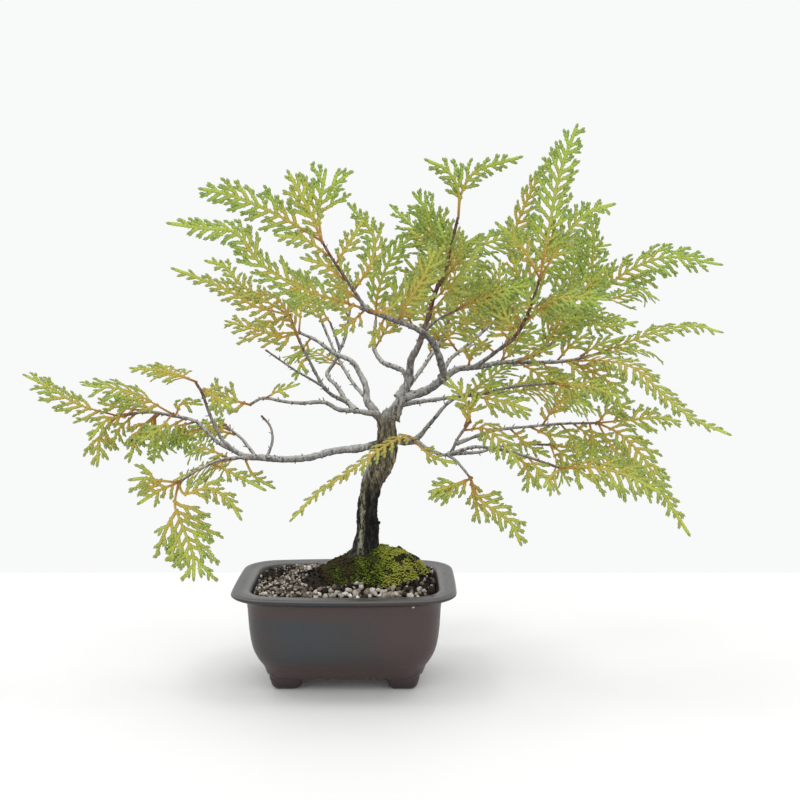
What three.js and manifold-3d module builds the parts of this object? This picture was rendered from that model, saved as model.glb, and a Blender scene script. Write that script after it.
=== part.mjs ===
// Hinoki cypress bonsai in a footed ceramic pot: pot, drain nets, soil, moss, wood and leaf sprays.
// Millimetres, +Z up. The plan is laid out about the pot's centre, +Y away from the viewer, with the
// pot's feet ending a little below level 0. The finished group is shifted so that the origin is the
// centre of the base of its bounding box.

import * as THREE from "three";
import { mergeVertices } from "three/addons/utils/BufferGeometryUtils.js";
import Module from "manifold-3d";

const wasm = await Module();
wasm.setup();

const CLEARANCE = 0.3;

// Pot: a rounded rectangle, wider than deep, with a flat out-turned rim and four feet.
const POT_WIDTH = 120;
const POT_DEPTH = 90;
const POT_UNDERSIDE = 4;
const POT_FLOOR = 9;
const FEET_END = -2.4;
const FRONT_BOW = 5.5;
const END_BOW = 0.9;
const CORNER_AT_FLOOR = 9;
const CORNER_AT_RIM = 16;
const CORNER_STEPS = 3;
const FOOT_HALF = { x: 7.4, y: 6.2 };
const FOOT_CENTRE = { x: 31.6, y: 17.6 };
const FOOT_SPREAD = 2;
const FOOT_SIDES = 8;
const FOOT_SQUARENESS = 0.45;
const DRAIN_RADIUS = 5;
const DRAIN_OFFSET = 21;

// Nets over the drain holes.
const NET_SIDE = 15;
const NET_THICKNESS = 0.8;
const NET_BAR = 1.4;

// Soil and moss, in rings about the trunk.
const TRUNK_FOOT = { x: 11, y: 0 };
const ROUND = 32;
const SOIL_EDGE = 51;
const SOIL_MOUND = 14.5;
const MOUND_SPREAD = 34;
const MOUND_FRONT = 1.45;
const MOUND_BACK = 1.15;
const GRAIN_RELIEF = 0.9;
const TRUNK_HOLE_RADIUS = 7.8;
const ROOT_END = 26;
const MOSS_CENTRE = { x: 14, y: -4 };
const MOSS_HALF = { x: 28, y: 20 };
const MOSS_THICKNESS = 5;
const MOSS_RISE = 0.22;
const MOSS_LEAST = 2;
const MOSS_UNEVEN = 0.3;
const UNDER_MOSS = 1.4 * CLEARANCE;

// Leaf blades.
const BLADE = 0.8;
const LEAFLET_PITCH = 9.8;
const BARE_STALK = 3.5;
const BARE_FORK = 10;
const LEAFLET_HALF_BASE = 1.15;
const LEAFLET_HALF_TIP = 1.65;
const STALK_HALF = 0.35;
const RACHIS_HALF_BASE = 1.1;
const RACHIS_HALF_TIP = 0.8;
const RACHIS_PAST_END = 3;
const LAST_LEAFLET = 2.5;
const LEAST_LEAFLET = 4.5;
const ANGLE_AT_BASE = 50;
const ANGLE_AT_TIP = 34;
const ANGLE_SPREAD = 4;
const LEAST_SIZE = 0.8;
const SIZE_SPREAD = 0.35;
const LEAST_PITCH = 0.94;
const PITCH_SPREAD = 0.12;
const BLADE_ARCH = 0.006;
const BEND_STEP = 2;
const MOST_BENDS = 24;

const COLOUR = {
  pot: 0x4b4544,
  net: 0x22231f,
  soil: 0x9a8f82,
  moss: 0x7d9426,
  wood: 0x8d857c,
};
const LEAF_COLOURS = [0x7fa33a, 0x9cb23c, 0x5f8c3a, 0xb3b63f];

const point = (p) => new THREE.Vector3(...p);
const degrees = THREE.MathUtils.degToRad;

// A draw from a whole-number series that a seed fixes.
function drawer(seed) {
  let state = (seed * 7919 + 104729) % 2147483647;
  return () => {
    state = (state * 48271) % 2147483647;
    return state / 2147483647;
  };
}

function indexed(positions, faces) {
  const geometry = new THREE.BufferGeometry();
  geometry.setAttribute("position", new THREE.Float32BufferAttribute(positions, 3));
  geometry.setIndex(faces);
  return geometry;
}

function toSolid(geometry) {
  const bare = geometry.clone();
  bare.deleteAttribute("normal");
  bare.deleteAttribute("uv");
  const merged = mergeVertices(bare, 1e-4);
  return new wasm.Manifold(
    new wasm.Mesh({
      numProp: 3,
      vertProperties: merged.attributes.position.array,
      triVerts: new Uint32Array(merged.index.array),
    }),
  );
}

function toGeometry(solid) {
  const mesh = solid.getMesh();
  return indexed(Array.from(mesh.vertProperties), Array.from(mesh.triVerts));
}

function meshOf(name, geometry, color, roughness) {
  const shape = geometry.index ? geometry : mergeVertices(geometry);
  const mesh = new THREE.Mesh(shape, new THREE.MeshStandardMaterial({ color, roughness, metalness: 0 }));
  mesh.name = name;
  return mesh;
}

// A closed skin over rings of equal count, with a fan from the middle over the first and the last ring.
function skin(rings) {
  const count = rings[0].length;
  const positions = rings.flat().flatMap((p) => [p.x, p.y, p.z]);
  const faces = [];
  for (let k = 0; k + 1 < rings.length; k++)
    for (let j = 0; j < count; j++) {
      const a = k * count + j;
      const b = k * count + ((j + 1) % count);
      faces.push(a, b, b + count, a, b + count, a + count);
    }
  [rings[0], rings.at(-1)].forEach((ring, last) => {
    const middle = ring.reduce((sum, p) => sum.add(p), new THREE.Vector3()).divideScalar(count);
    const hub = positions.length / 3;
    positions.push(middle.x, middle.y, middle.z);
    const first = last ? (rings.length - 1) * count : 0;
    for (let j = 0; j < count; j++) {
      const a = first + j;
      const b = first + ((j + 1) % count);
      faces.push(...(last ? [hub, a, b] : [hub, b, a]));
    }
  });
  return indexed(positions, faces);
}

const FLOOR_HALF = 38;

// Half widths and heights up the outside, over the rim and down the inside to the floor.
const POT_PROFILE = [
  [41.4, POT_UNDERSIDE],
  [42.4, 4.6],
  [43.9, 10.6],
  [45.2, 11.6],
  [47.8, 16.2],
  [49.8, 21.4],
  [51, 30],
  [51.8, 46.6],
  [53.4, 48.4],
  [57, 49.4],
  [59.5, 50.4],
  [60, 51.6],
  [59.2, 52.8],
  [57.8, 53],
  [51.6, 52.7],
  [50.4, 52],
  [49, 49.6],
  [47.8, 45],
  [44.6, 22],
  [40.8, 11.4],
  [FLOOR_HALF, POT_FLOOR],
];

// From the floor's half width to the rim's, the corners grow rounder and the sides bow further out.
const widening = (half) => (half - FLOOR_HALF) / (POT_WIDTH / 2 - FLOOR_HALF);

// One level of the pot's plan: a rectangle with arcs at its corners, whose sides all bow out.
function plan(half, z) {
  const radius = THREE.MathUtils.lerp(CORNER_AT_FLOOR, CORNER_AT_RIM, widening(half));
  const bowing = THREE.MathUtils.clamp(widening(half), 0.2, 1);
  const halfY = half - (POT_WIDTH - POT_DEPTH + FRONT_BOW * bowing) / 2;
  const ring = [];
  const add = (x, y) => {
    const outX = Math.sign(x) * END_BOW * bowing * (1 - (y / halfY) ** 2);
    const outY = Math.sign(y) * FRONT_BOW * bowing * (1 - (x / half) ** 2);
    ring.push(new THREE.Vector3(x + outX, y + outY, z));
  };
  for (let side = 0; side < 4; side++) {
    const signX = side === 0 || side === 3 ? 1 : -1;
    const signY = side < 2 ? 1 : -1;
    const cx = signX * (half - radius);
    const cy = signY * (halfY - radius);
    for (let i = 0; i <= CORNER_STEPS; i++) {
      const angle = ((side + i / CORNER_STEPS) * Math.PI) / 2;
      add(cx + radius * Math.cos(angle), cy + radius * Math.sin(angle));
    }
    if (side % 2) add(signX * half, 0);
    else for (const share of [0.5, 0, -0.5]) add(share * cx, signY * halfY);
  }
  return ring;
}

function buildPot() {
  const rings = POT_PROFILE.map(([half, z]) => plan(half, z));
  let pot = toSolid(skin(rings));
  const footPlan = (grow, z) => {
    const ring = [];
    for (let i = 0; i < FOOT_SIDES; i++) {
      const angle = ((i + 0.5) / FOOT_SIDES) * 2 * Math.PI;
      const round = (v) => Math.sign(v) * Math.abs(v) ** FOOT_SQUARENESS;
      const x = (FOOT_HALF.x + grow) * round(Math.cos(angle));
      const y = (FOOT_HALF.y + grow) * round(Math.sin(angle));
      ring.push(new THREE.Vector3(x, y, z));
    }
    return ring;
  };
  for (const x of [-1, 1])
    for (const y of [-1, 1]) {
      const sole = footPlan(0, FEET_END);
      const foot = skin([sole, footPlan(0.4, FEET_END + 0.6), footPlan(FOOT_SPREAD, POT_UNDERSIDE + 1)]);
      foot.translate(x * FOOT_CENTRE.x, y * FOOT_CENTRE.y, 0);
      pot = pot.add(toSolid(foot));
    }
  for (const x of [-DRAIN_OFFSET, DRAIN_OFFSET]) {
    const drill = new THREE.CylinderGeometry(DRAIN_RADIUS, DRAIN_RADIUS, 2 * POT_FLOOR, 16);
    drill.rotateX(Math.PI / 2);
    drill.translate(x, 0, (POT_UNDERSIDE + POT_FLOOR) / 2);
    pot = pot.subtract(toSolid(drill));
  }
  return toGeometry(pot);
}

// A square of plastic net with four openings, lying on the pot's floor over a drain hole.
function buildNet(x) {
  let net = toSolid(new THREE.BoxGeometry(NET_SIDE, NET_SIDE, NET_THICKNESS));
  const opening = (NET_SIDE - 3 * NET_BAR) / 2;
  const offset = (NET_BAR + opening) / 2;
  for (const i of [-offset, offset])
    for (const j of [-offset, offset]) {
      const cutter = new THREE.BoxGeometry(opening, opening, 3 * NET_THICKNESS);
      cutter.translate(i, j, 0);
      net = net.subtract(toSolid(cutter));
    }
  const geometry = toGeometry(net);
  geometry.translate(x, 0, POT_FLOOR + CLEARANCE + NET_THICKNESS / 2);
  return geometry;
}

// The soil lies in mounds about the trunk, under the moss.
function soilHeight(x, y) {
  const squeeze = y < TRUNK_FOOT.y ? MOUND_FRONT : MOUND_BACK;
  const away = Math.hypot(x - TRUNK_FOOT.x, (y - TRUNK_FOOT.y) * squeeze) / MOUND_SPREAD;
  return SOIL_EDGE + SOIL_MOUND * Math.exp(-away * away * 1.4);
}

const aroundTrunk = (j) => (j / ROUND) * 2 * Math.PI;

function trunkRing(radius, z) {
  return Array.from({ length: ROUND }, (_, j) => {
    const x = TRUNK_FOOT.x + radius * Math.cos(aroundTrunk(j));
    const y = TRUNK_FOOT.y + radius * Math.sin(aroundTrunk(j));
    return new THREE.Vector3(x, y, z ?? soilHeight(x, y));
  });
}

// The point where a ray from the trunk at an angle leaves a shape that inside(x, y) describes.
function outlineRing(inside) {
  return Array.from({ length: ROUND }, (_, j) => {
    const angle = aroundTrunk(j);
    let near = 0;
    let far = POT_WIDTH;
    for (let i = 0; i < 30; i++) {
      const middle = (near + far) / 2;
      const x = TRUNK_FOOT.x + middle * Math.cos(angle);
      const y = TRUNK_FOOT.y + middle * Math.sin(angle);
      if (inside(x, y)) near = middle;
      else far = middle;
    }
    return new THREE.Vector2(TRUNK_FOOT.x + near * Math.cos(angle), TRUNK_FOOT.y + near * Math.sin(angle));
  });
}

function potInside(half) {
  const ring = plan(half, 0);
  return (x, y) =>
    ring.every((here, i) => {
      const next = ring[(i + 1) % ring.length];
      return (next.x - here.x) * (y - here.y) >= (next.y - here.y) * (x - here.x);
    });
}

const mossEdge = outlineRing((x, y) => {
  const dx = (x - MOSS_CENTRE.x) / MOSS_HALF.x;
  const dy = (y - MOSS_CENTRE.y) / MOSS_HALF.y;
  const lobes = 1 + 0.07 * Math.sin(5 * Math.atan2(dy, dx) + 1) + 0.05 * Math.sin(8 * Math.atan2(dy, dx));
  return Math.hypot(dx, dy) <= lobes;
});

const between = (inner, outer, share) =>
  inner.map((p, j) => {
    const x = THREE.MathUtils.lerp(p.x, outer[j].x, share);
    const y = THREE.MathUtils.lerp(p.y, outer[j].y, share);
    return new THREE.Vector3(x, y, soilHeight(x, y));
  });

const MOSS_SHARES = [1, 0.84, 0.6, 0.32, 0];
const trunkHole = trunkRing(TRUNK_HOLE_RADIUS);
const underMoss = MOSS_SHARES.map((share) => between(trunkHole, mossEdge, share));

function buildSoil() {
  const draw = drawer(3);
  const wall = [
    [38.1, POT_FLOOR + 2 * CLEARANCE + NET_THICKNESS],
    [44.1, 22.4],
    [47.3, 45.4],
    [48.8, SOIL_EDGE],
  ];
  const walls = wall.map(([half, z]) =>
    outlineRing(potInside(half)).map((p) => new THREE.Vector3(p.x, p.y, z)),
  );
  const edge = walls.at(-1);
  const gravel = [0.88, 0.66, 0.44, 0.22].map((share) =>
    between(mossEdge, edge, share).map((p) => p.setZ(p.z + GRAIN_RELIEF * (2 * draw() - 1))),
  );
  return skin([...walls, ...gravel, ...underMoss, trunkRing(TRUNK_HOLE_RADIUS, ROOT_END - CLEARANCE)]);
}

// The moss grows thicker towards the right.
function mossThickness(x) {
  return Math.max(MOSS_THICKNESS + MOSS_RISE * (x - TRUNK_FOOT.x), MOSS_LEAST);
}

function buildMoss() {
  const draw = drawer(8);
  const bottom = underMoss.map((ring) => ring.map((p) => p.clone().setZ(p.z + UNDER_MOSS)));
  const shares = [0.35, 0.8, 1, 1, 0.9];
  const top = bottom.map((ring, k) =>
    ring.map((p) => {
      const uneven = 1 + MOSS_UNEVEN * (draw() - 0.5);
      return p.clone().setZ(p.z + shares[k] * mossThickness(p.x) * uneven);
    }),
  );
  const loop = [...bottom, ...top.reverse()];
  const positions = loop.flat().flatMap((p) => [p.x, p.y, p.z]);
  const faces = [];
  loop.forEach((_, k) => {
    const here = k * ROUND;
    const next = ((k + 1) % loop.length) * ROUND;
    for (let j = 0; j < ROUND; j++) {
      const turn = (j + 1) % ROUND;
      faces.push(here + j, next + turn, here + turn, here + j, next + j, next + turn);
    }
  });
  return indexed(positions, faces);
}

// Wood: each limb's way from its fork to its end, with its radius at both.
const TRUNK_SIDES = 10;
const TRUNK_RINGS = 14;
const FLUTES = [
  { count: 3, depth: 0.06, start: 0.8, twist: 1 },
  { count: 5, depth: 0.04, start: 0, twist: 4 },
];
const TRUNK = {
  way: [
    [11, 0, ROOT_END],
    [11, 0, 60],
    [11, 0, 71],
    [12, 0, 80],
    [12, 0, 93],
    [15, 0, 108],
    [20, 0, 117],
    [23, 0, 126],
    [23, 0, 134],
    [23, 0, 141],
    [26, 0, 147],
  ],
  radii: [6.2, 6.6, 6.8, 6.4, 6, 5.6, 5.3, 6.2, 6, 5.4, 4],
};

const LIMBS = {
  low_left: {
    ends: [2.7, 1.7],
    way: [
      [22, 0, 129], [9, -6, 127], [-6, -12, 126], [-20, -16, 123], [-33, -20, 123],
      [-43, -22, 124], [-54, -24, 125],
    ],
  },
  low_left_rise: {
    ends: [1.3, 0.8],
    way: [
      [-52, -24, 124], [-63, -24, 133], [-66, -25, 138], [-70, -28, 149],
      [-73, -30, 159], [-76, -32, 165],
    ],
  },
  low_left_far: {
    ends: [1.4, 0.8],
    way: [
      [-50, -23, 124], [-65, -21, 131], [-71, -20, 136], [-79, -18, 143],
      [-91, -18, 146], [-104, -18, 148], [-120, -18, 146],
    ],
  },
  low_left_drop: {
    ends: [1.2, 0.7],
    way: [[-50, -23, 125], [-64, -30, 124], [-74, -34, 120], [-84, -39, 114]],
  },
  low_left_back: {
    ends: [1.2, 0.7],
    way: [[-46, -22, 124], [-55, -10, 132], [-62, 2, 135], [-68, 14, 137]],
  },
  low_left_arch: {
    ends: [0.9, 0.6],
    way: [[-41, -22, 124], [-38, -20, 132], [-39, -18, 140], [-44, -17, 146]],
  },
  mid_left: {
    ends: [1.9, 0.8],
    way: [
      [18, 0, 145], [4, -2, 147], [-4, -4, 148], [-11, -6, 152], [-24, -10, 152],
      [-32, -12, 153], [-43, -14, 155], [-50, -16, 152],
    ],
  },
  inner_left: {
    ends: [1.7, 0.8],
    way: [
      [6, -2, 147], [0, 6, 152], [-5, 12, 159], [-11, 18, 165], [-7, 22, 172],
      [-4, 26, 179], [-1, 30, 187], [1, 38, 201],
    ],
  },
  inner_left_side: {
    ends: [0.9, 0.6],
    way: [[-4, 26, 179], [-7, 22, 188], [-9, 18, 194]],
  },
  fore_left: {
    ends: [1.4, 0.7],
    way: [
      [1, 5, 151], [-8, 0, 156], [-13, -6, 163], [-20, -12, 178], [-23, -16, 185],
      [-28, -20, 199],
    ],
  },
  bare_left: {
    ends: [0.9, 0.5],
    way: [[-11, -4, 160], [-19, -14, 166], [-27, -24, 172], [-39, -36, 182]],
  },
  twin_left: {
    ends: [3, 0.9],
    way: [
      [22, 0, 139], [16, 1, 146], [12, 3, 152], [11, 6, 160], [8, 10, 166],
      [3, 14, 173], [-7, 22, 177], [-18, 30, 184], [-28, 38, 188],
    ],
  },
  leader: {
    ends: [3.9, 3.3],
    way: [[25, 0, 143], [29, 0, 150], [33, 0, 156]],
  },
  twist: {
    ends: [2.4, 1],
    way: [
      [29, 0, 154], [34, 4, 163], [32, 6, 168], [27, 10, 170], [21, 16, 172],
      [17, 22, 176], [15, 27, 182], [16, 38, 195],
    ],
  },
  mast: {
    ends: [3.1, 0.8],
    way: [
      [31, 0, 154], [35, -2, 164], [36, -6, 175], [40, -10, 183], [45, -18, 199],
      [48, -22, 210], [54, -24, 226], [60, -26, 250],
    ],
  },
  mast_side: {
    ends: [1, 0.6],
    way: [[43, -14, 191], [51, -22, 198], [61, -30, 203]],
  },
  sweep: {
    ends: [3.2, 1.2],
    way: [
      [30, 0, 154], [44, -4, 158], [53, -9, 166], [52, -14, 173], [49, -20, 182],
      [44, -26, 189], [36, -32, 194], [23, -41, 199], [10, -48, 204],
    ],
  },
  sweep_rise: {
    ends: [1.1, 0.7],
    way: [[13, -46, 203], [6, -51, 214], [-2, -56, 226], [-8, -58, 236]],
  },
  right: {
    ends: [2.3, 0.9],
    way: [
      [52, -9, 164], [61, -6, 170], [73, -2, 171], [84, 2, 173], [94, 6, 173],
      [110, 6, 173], [123, 4, 174], [134, 0, 177],
    ],
  },
  right_rise: {
    ends: [1.4, 0.8],
    way: [[92, 5, 173], [108, 14, 178], [120, 22, 187], [130, 30, 198], [139, 34, 207]],
  },
  right_back: {
    ends: [1.5, 0.8],
    way: [
      [52, -9, 166], [57, 4, 174], [64, 16, 179], [74, 30, 186], [88, 42, 198],
      [100, 50, 213],
    ],
  },
  right_fore: {
    ends: [1.4, 0.8],
    way: [
      [71, -3, 171], [81, -16, 180], [90, -30, 189], [96, -40, 203], [100, -46, 218],
    ],
  },
  low_right: {
    ends: [2.8, 2],
    way: [[24, 0, 132], [31, -2, 130], [40, -4, 131]],
  },
  low_right_rise: {
    ends: [1.5, 0.7],
    way: [
      [38, -4, 131], [42, -6, 135], [48, -10, 143], [59, -16, 155], [78, -20, 159],
      [90, -22, 162], [111, -26, 164],
    ],
  },
  low_right_run: {
    ends: [1.6, 0.8],
    way: [
      [38, -4, 131], [47, -10, 126], [56, -16, 125], [61, -18, 134], [67, -20, 143],
    ],
  },
  low_right_long: {
    ends: [1.2, 0.7],
    way: [
      [60, -18, 131], [75, -14, 136], [84, -12, 138], [100, -8, 139], [117, -4, 140],
      [138, 0, 140],
    ],
  },
  low_right_fore: {
    ends: [1.2, 0.7],
    way: [
      [56, -16, 125], [69, -24, 130], [79, -30, 130], [92, -36, 128], [112, -44, 122],
    ],
  },
  low_right_back: {
    ends: [1.1, 0.7],
    way: [[56, -15, 125], [73, -8, 125], [82, 2, 126], [98, 16, 126], [116, 28, 124]],
  },
  low_right_drop: {
    ends: [0.9, 0.7],
    way: [[55, -15, 125], [61, -20, 121], [67, -26, 114]],
  },
  behind_left: {
    ends: [2, 0.8],
    way: [[23, 0, 137], [14, 22, 148], [2, 44, 159], [-9, 58, 176], [-17, 68, 193]],
  },
  behind_middle: {
    ends: [2, 0.8],
    way: [[30, 1, 154], [36, 20, 160], [44, 38, 169], [54, 52, 183], [60, 62, 201]],
  },
  behind_right: {
    ends: [2, 0.8],
    way: [[28, 0, 150], [46, 24, 150], [70, 44, 151], [96, 58, 152]],
  },
};

// Sprays: the limb that carries each, how far along it, and its fronds. A frond has its way on from the
// limb, its longest leaflet, its tilt, which is 0 facing the viewer and 90 facing up, and its turn aside.
const SPRAYS = {
  far_left: {
    limb: "low_left_far", at: 1,
    fronds: [
      { way: [[-140, -20, 152], [-155, -24, 162], [-166, -26, 168]], reach: 17, tilt: 50 },
      { way: [[-128, -24, 136], [-129, -28, 123]], reach: 15, tilt: 10 },
    ],
  },
  far_left_upper: {
    limb: "low_left_far", at: 0.62,
    fronds: [
      { way: [[-111, -30, 160], [-130, -40, 164]], reach: 20, tilt: 52 },
      { way: [[-95, -34, 141], [-104, -38, 135]], reach: 15, tilt: 15 },
    ],
  },
  far_left_under: {
    limb: "low_left_far", at: 0.74,
    fronds: [
      { way: [[-108, -26, 138], [-111, -32, 125]], reach: 11, tilt: 20 },
      { way: [[-100, -20, 134], [-103, -12, 121]], reach: 15, tilt: 25 },
    ],
  },
  left_crest: {
    limb: "low_left_rise", at: 1,
    fronds: [
      { way: [[-91, -36, 171], [-106, -42, 173]], reach: 9, tilt: 40 },
      { way: [[-88, -16, 168], [-104, 2, 171]], reach: 17, tilt: 70 },
    ],
  },
  left_fan: {
    limb: "low_left_drop", at: 1,
    fronds: [
      {
        way: [[-86, -42, 103], [-84, -42, 96], [-80, -42, 85], [-77, -42, 75], [-77, -42, 65]],
        reach: 30, tilt: 4,
      },
      { way: [[-94, -46, 116], [-99, -52, 118], [-105, -56, 118]], reach: 17, tilt: 10 },
      { way: [[-80, -46, 109], [-68, -47, 112], [-58, -45, 106], [-53, -43, 97]], reach: 12, tilt: 4 },
    ],
  },
  left_hollow: {
    limb: "low_left_back", at: 1,
    fronds: [{ way: [[-82, 30, 130], [-101, 46, 124]], reach: 22, tilt: 32, turn: 20 }],
  },
  left_shelf: {
    limb: "low_left", at: 0.98,
    fronds: [
      { way: [[-76, -8, 122], [-97, 6, 117]], reach: 19, tilt: 45 },
      { way: [[-48, -28, 114], [-39, -30, 107]], reach: 7, tilt: 0 },
    ],
  },
  mid_left_end: {
    limb: "mid_left", at: 1,
    fronds: [{ way: [[-60, -12, 154], [-76, -4, 159]], reach: 16, tilt: 15, turn: -20 }],
  },
  mid_left_small: {
    limb: "mid_left", at: 0.86,
    fronds: [{ way: [[-35, -18, 159], [-24, -22, 163]], reach: 9, tilt: 40 }],
  },
  crest_left: {
    limb: "sweep_rise", at: 1,
    fronds: [
      { way: [[-24, -60, 246], [-38, -62, 253], [-54, -64, 259], [-65, -66, 261]], reach: 17, tilt: 6 },
      { way: [[-10, -53, 251], [-7, -48, 271]], reach: 27, tilt: 6 },
    ],
  },
  crest_right: {
    limb: "sweep_rise", at: 0.3,
    fronds: [
      { way: [[15, -44, 225], [17, -40, 238], [12, -37, 247], [5, -34, 255]], reach: 12, tilt: 0 },
    ],
  },
  wing_left: {
    limb: "sweep", at: 1,
    fronds: [
      {
        way: [[-17, -58, 213], [-37, -64, 225], [-49, -68, 240], [-63, -72, 242], [-78, -76, 244]],
        reach: 14, tilt: 15,
      },
    ],
  },
  tall_left: {
    limb: "twist", at: 1,
    fronds: [
      { way: [[17, 34, 209], [22, 30, 225], [29, 26, 236], [38, 22, 243]], reach: 15, tilt: 5 },
    ],
  },
  arm_left: {
    limb: "fore_left", at: 1,
    fronds: [
      {
        way: [[-46, -18, 204], [-56, -20, 210], [-68, -22, 216], [-86, -26, 223]],
        reach: 11, tilt: 25,
      },
      { way: [[-54, -12, 215], [-64, -4, 225], [-74, 0, 228]], reach: 11, tilt: 10 },
    ],
  },
  arch_left: {
    limb: "fore_left", at: 0.8,
    fronds: [{ way: [[-31, -34, 206], [-40, -42, 211], [-50, -50, 209]], reach: 8, tilt: 35 }],
  },
  golden: {
    limb: "twin_left", at: 1,
    fronds: [
      { way: [[-46, 42, 188], [-70, 46, 194]], reach: 19, tilt: 35, turn: 20 },
      { way: [[-28, 46, 204], [-32, 52, 219]], reach: 17, tilt: 15, turn: -30 },
    ],
  },
  inner_side: {
    limb: "inner_left_side", at: 1,
    fronds: [{ way: [[-15, 10, 202], [-30, 4, 206]], reach: 13, tilt: 30, turn: 25 }],
  },
  inner_top: {
    limb: "inner_left", at: 1,
    fronds: [{ way: [[-2, 44, 216], [-6, 48, 231]], reach: 17, tilt: 10, turn: 35 }],
  },
  back_left_top: {
    limb: "behind_left", at: 1,
    fronds: [{ way: [[-24, 76, 208], [-31, 82, 224]], reach: 19, tilt: 30, turn: 30 }],
  },
  back_left_low: {
    limb: "behind_left", at: 0.7,
    fronds: [{ way: [[-24, 74, 175], [-41, 86, 171]], reach: 19, tilt: 70 }],
  },
  mast_top: {
    limb: "mast", at: 1,
    fronds: [
      { way: [[60, -26, 264], [54, -26, 274], [44, -26, 279]], reach: 12, tilt: 0 },
      { way: [[62, -25, 263], [70, -24, 274], [92, -22, 281]], reach: 11, tilt: 0 },
    ],
  },
  mast_left: {
    limb: "mast", at: 0.72,
    fronds: [
      { way: [[40, -10, 242], [26, 0, 257]], reach: 17, tilt: 15, turn: 25 },
      { way: [[45, -40, 249], [37, -50, 260]], reach: 15, tilt: 25, turn: -25 },
    ],
  },
  mast_right: {
    limb: "mast", at: 0.68,
    fronds: [{ way: [[67, -14, 233], [84, -6, 240], [99, 0, 244]], reach: 20, tilt: 25, turn: -20 }],
  },
  mast_fore: {
    limb: "mast", at: 0.52,
    fronds: [{ way: [[56, -42, 213], [64, -56, 224], [69, -66, 234]], reach: 17, tilt: 40 }],
  },
  mast_arm: {
    limb: "mast_side", at: 1,
    fronds: [{ way: [[71, -42, 208], [82, -52, 213], [94, -60, 215]], reach: 20, tilt: 38 }],
  },
  twist_side: {
    limb: "twist", at: 0.72,
    fronds: [{ way: [[25, 34, 197], [36, 38, 213], [42, 40, 229]], reach: 17, tilt: 20, turn: 30 }],
  },
  sweep_fore: {
    limb: "sweep", at: 0.78,
    fronds: [{ way: [[35, -50, 208], [42, -60, 220], [47, -66, 232]], reach: 18, tilt: 32 }],
  },
  plume: {
    limb: "right_fore", at: 1,
    fronds: [
      { way: [[105, -46, 246], [108, -44, 263], [112, -42, 277], [118, -40, 293]], reach: 19, tilt: 0 },
      { way: [[116, -40, 243], [128, -34, 253], [138, -30, 256]], reach: 15, tilt: 15, turn: 15 },
      { way: [[92, -50, 232], [85, -54, 239], [79, -56, 244]], reach: 14, tilt: 15, turn: -20 },
    ],
  },
  fore_shelf: {
    limb: "right_fore", at: 0.72,
    fronds: [{ way: [[107, -52, 208], [118, -60, 209], [131, -66, 208]], reach: 20, tilt: 42 }],
  },
  back_crown: {
    limb: "right_back", at: 1,
    fronds: [
      { way: [[96, 46, 241], [103, 40, 264], [114, 34, 286]], reach: 14, tilt: 0, turn: -30 },
      { way: [[116, 56, 229], [134, 60, 236], [153, 62, 239]], reach: 22, tilt: 35, turn: 20 },
    ],
  },
  back_middle: {
    limb: "right_back", at: 0.62,
    fronds: [{ way: [[82, 44, 196], [88, 58, 213], [90, 68, 229]], reach: 22, tilt: 30, turn: 35 }],
  },
  back_shelf: {
    limb: "right_back", at: 0.82,
    fronds: [{ way: [[107, 58, 200], [127, 68, 196], [144, 74, 191]], reach: 20, tilt: 50 }],
  },
  behind_top: {
    limb: "behind_middle", at: 1,
    fronds: [{ way: [[63, 68, 218], [61, 72, 237], [57, 74, 253]], reach: 19, tilt: 15, turn: -35 }],
  },
  behind_shelf: {
    limb: "behind_middle", at: 0.72,
    fronds: [{ way: [[67, 68, 191], [83, 80, 195]], reach: 19, tilt: 45 }],
  },
  arm_right: {
    limb: "right_rise", at: 1,
    fronds: [
      { way: [[161, 30, 224], [182, 26, 231], [208, 22, 227]], reach: 20, tilt: 30 },
      { way: [[155, 46, 208], [171, 54, 213], [183, 60, 207]], reach: 17, tilt: 55 },
    ],
  },
  rise_fore: {
    limb: "right_rise", at: 0.35,
    fronds: [{ way: [[117, 2, 196], [129, -8, 213], [139, -14, 225]], reach: 23, tilt: 15, turn: -25 }],
  },
  rise_top: {
    limb: "right_rise", at: 0.62,
    fronds: [{ way: [[124, 26, 207], [129, 30, 227], [134, 34, 244]], reach: 19, tilt: 10, turn: 30 }],
  },
  right_tip: {
    limb: "right", at: 1,
    fronds: [
      { way: [[149, -6, 183], [168, -12, 191], [185, -18, 194], [197, -22, 191]], reach: 12, tilt: 45 },
      { way: [[156, 16, 179], [172, 26, 177], [180, 32, 172]], reach: 10, tilt: 60 },
    ],
  },
  right_sweep: {
    limb: "right", at: 0.86,
    fronds: [
      {
        way: [[139, -14, 175], [152, -30, 172], [163, -42, 161], [176, -54, 149], [192, -60, 142]],
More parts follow.
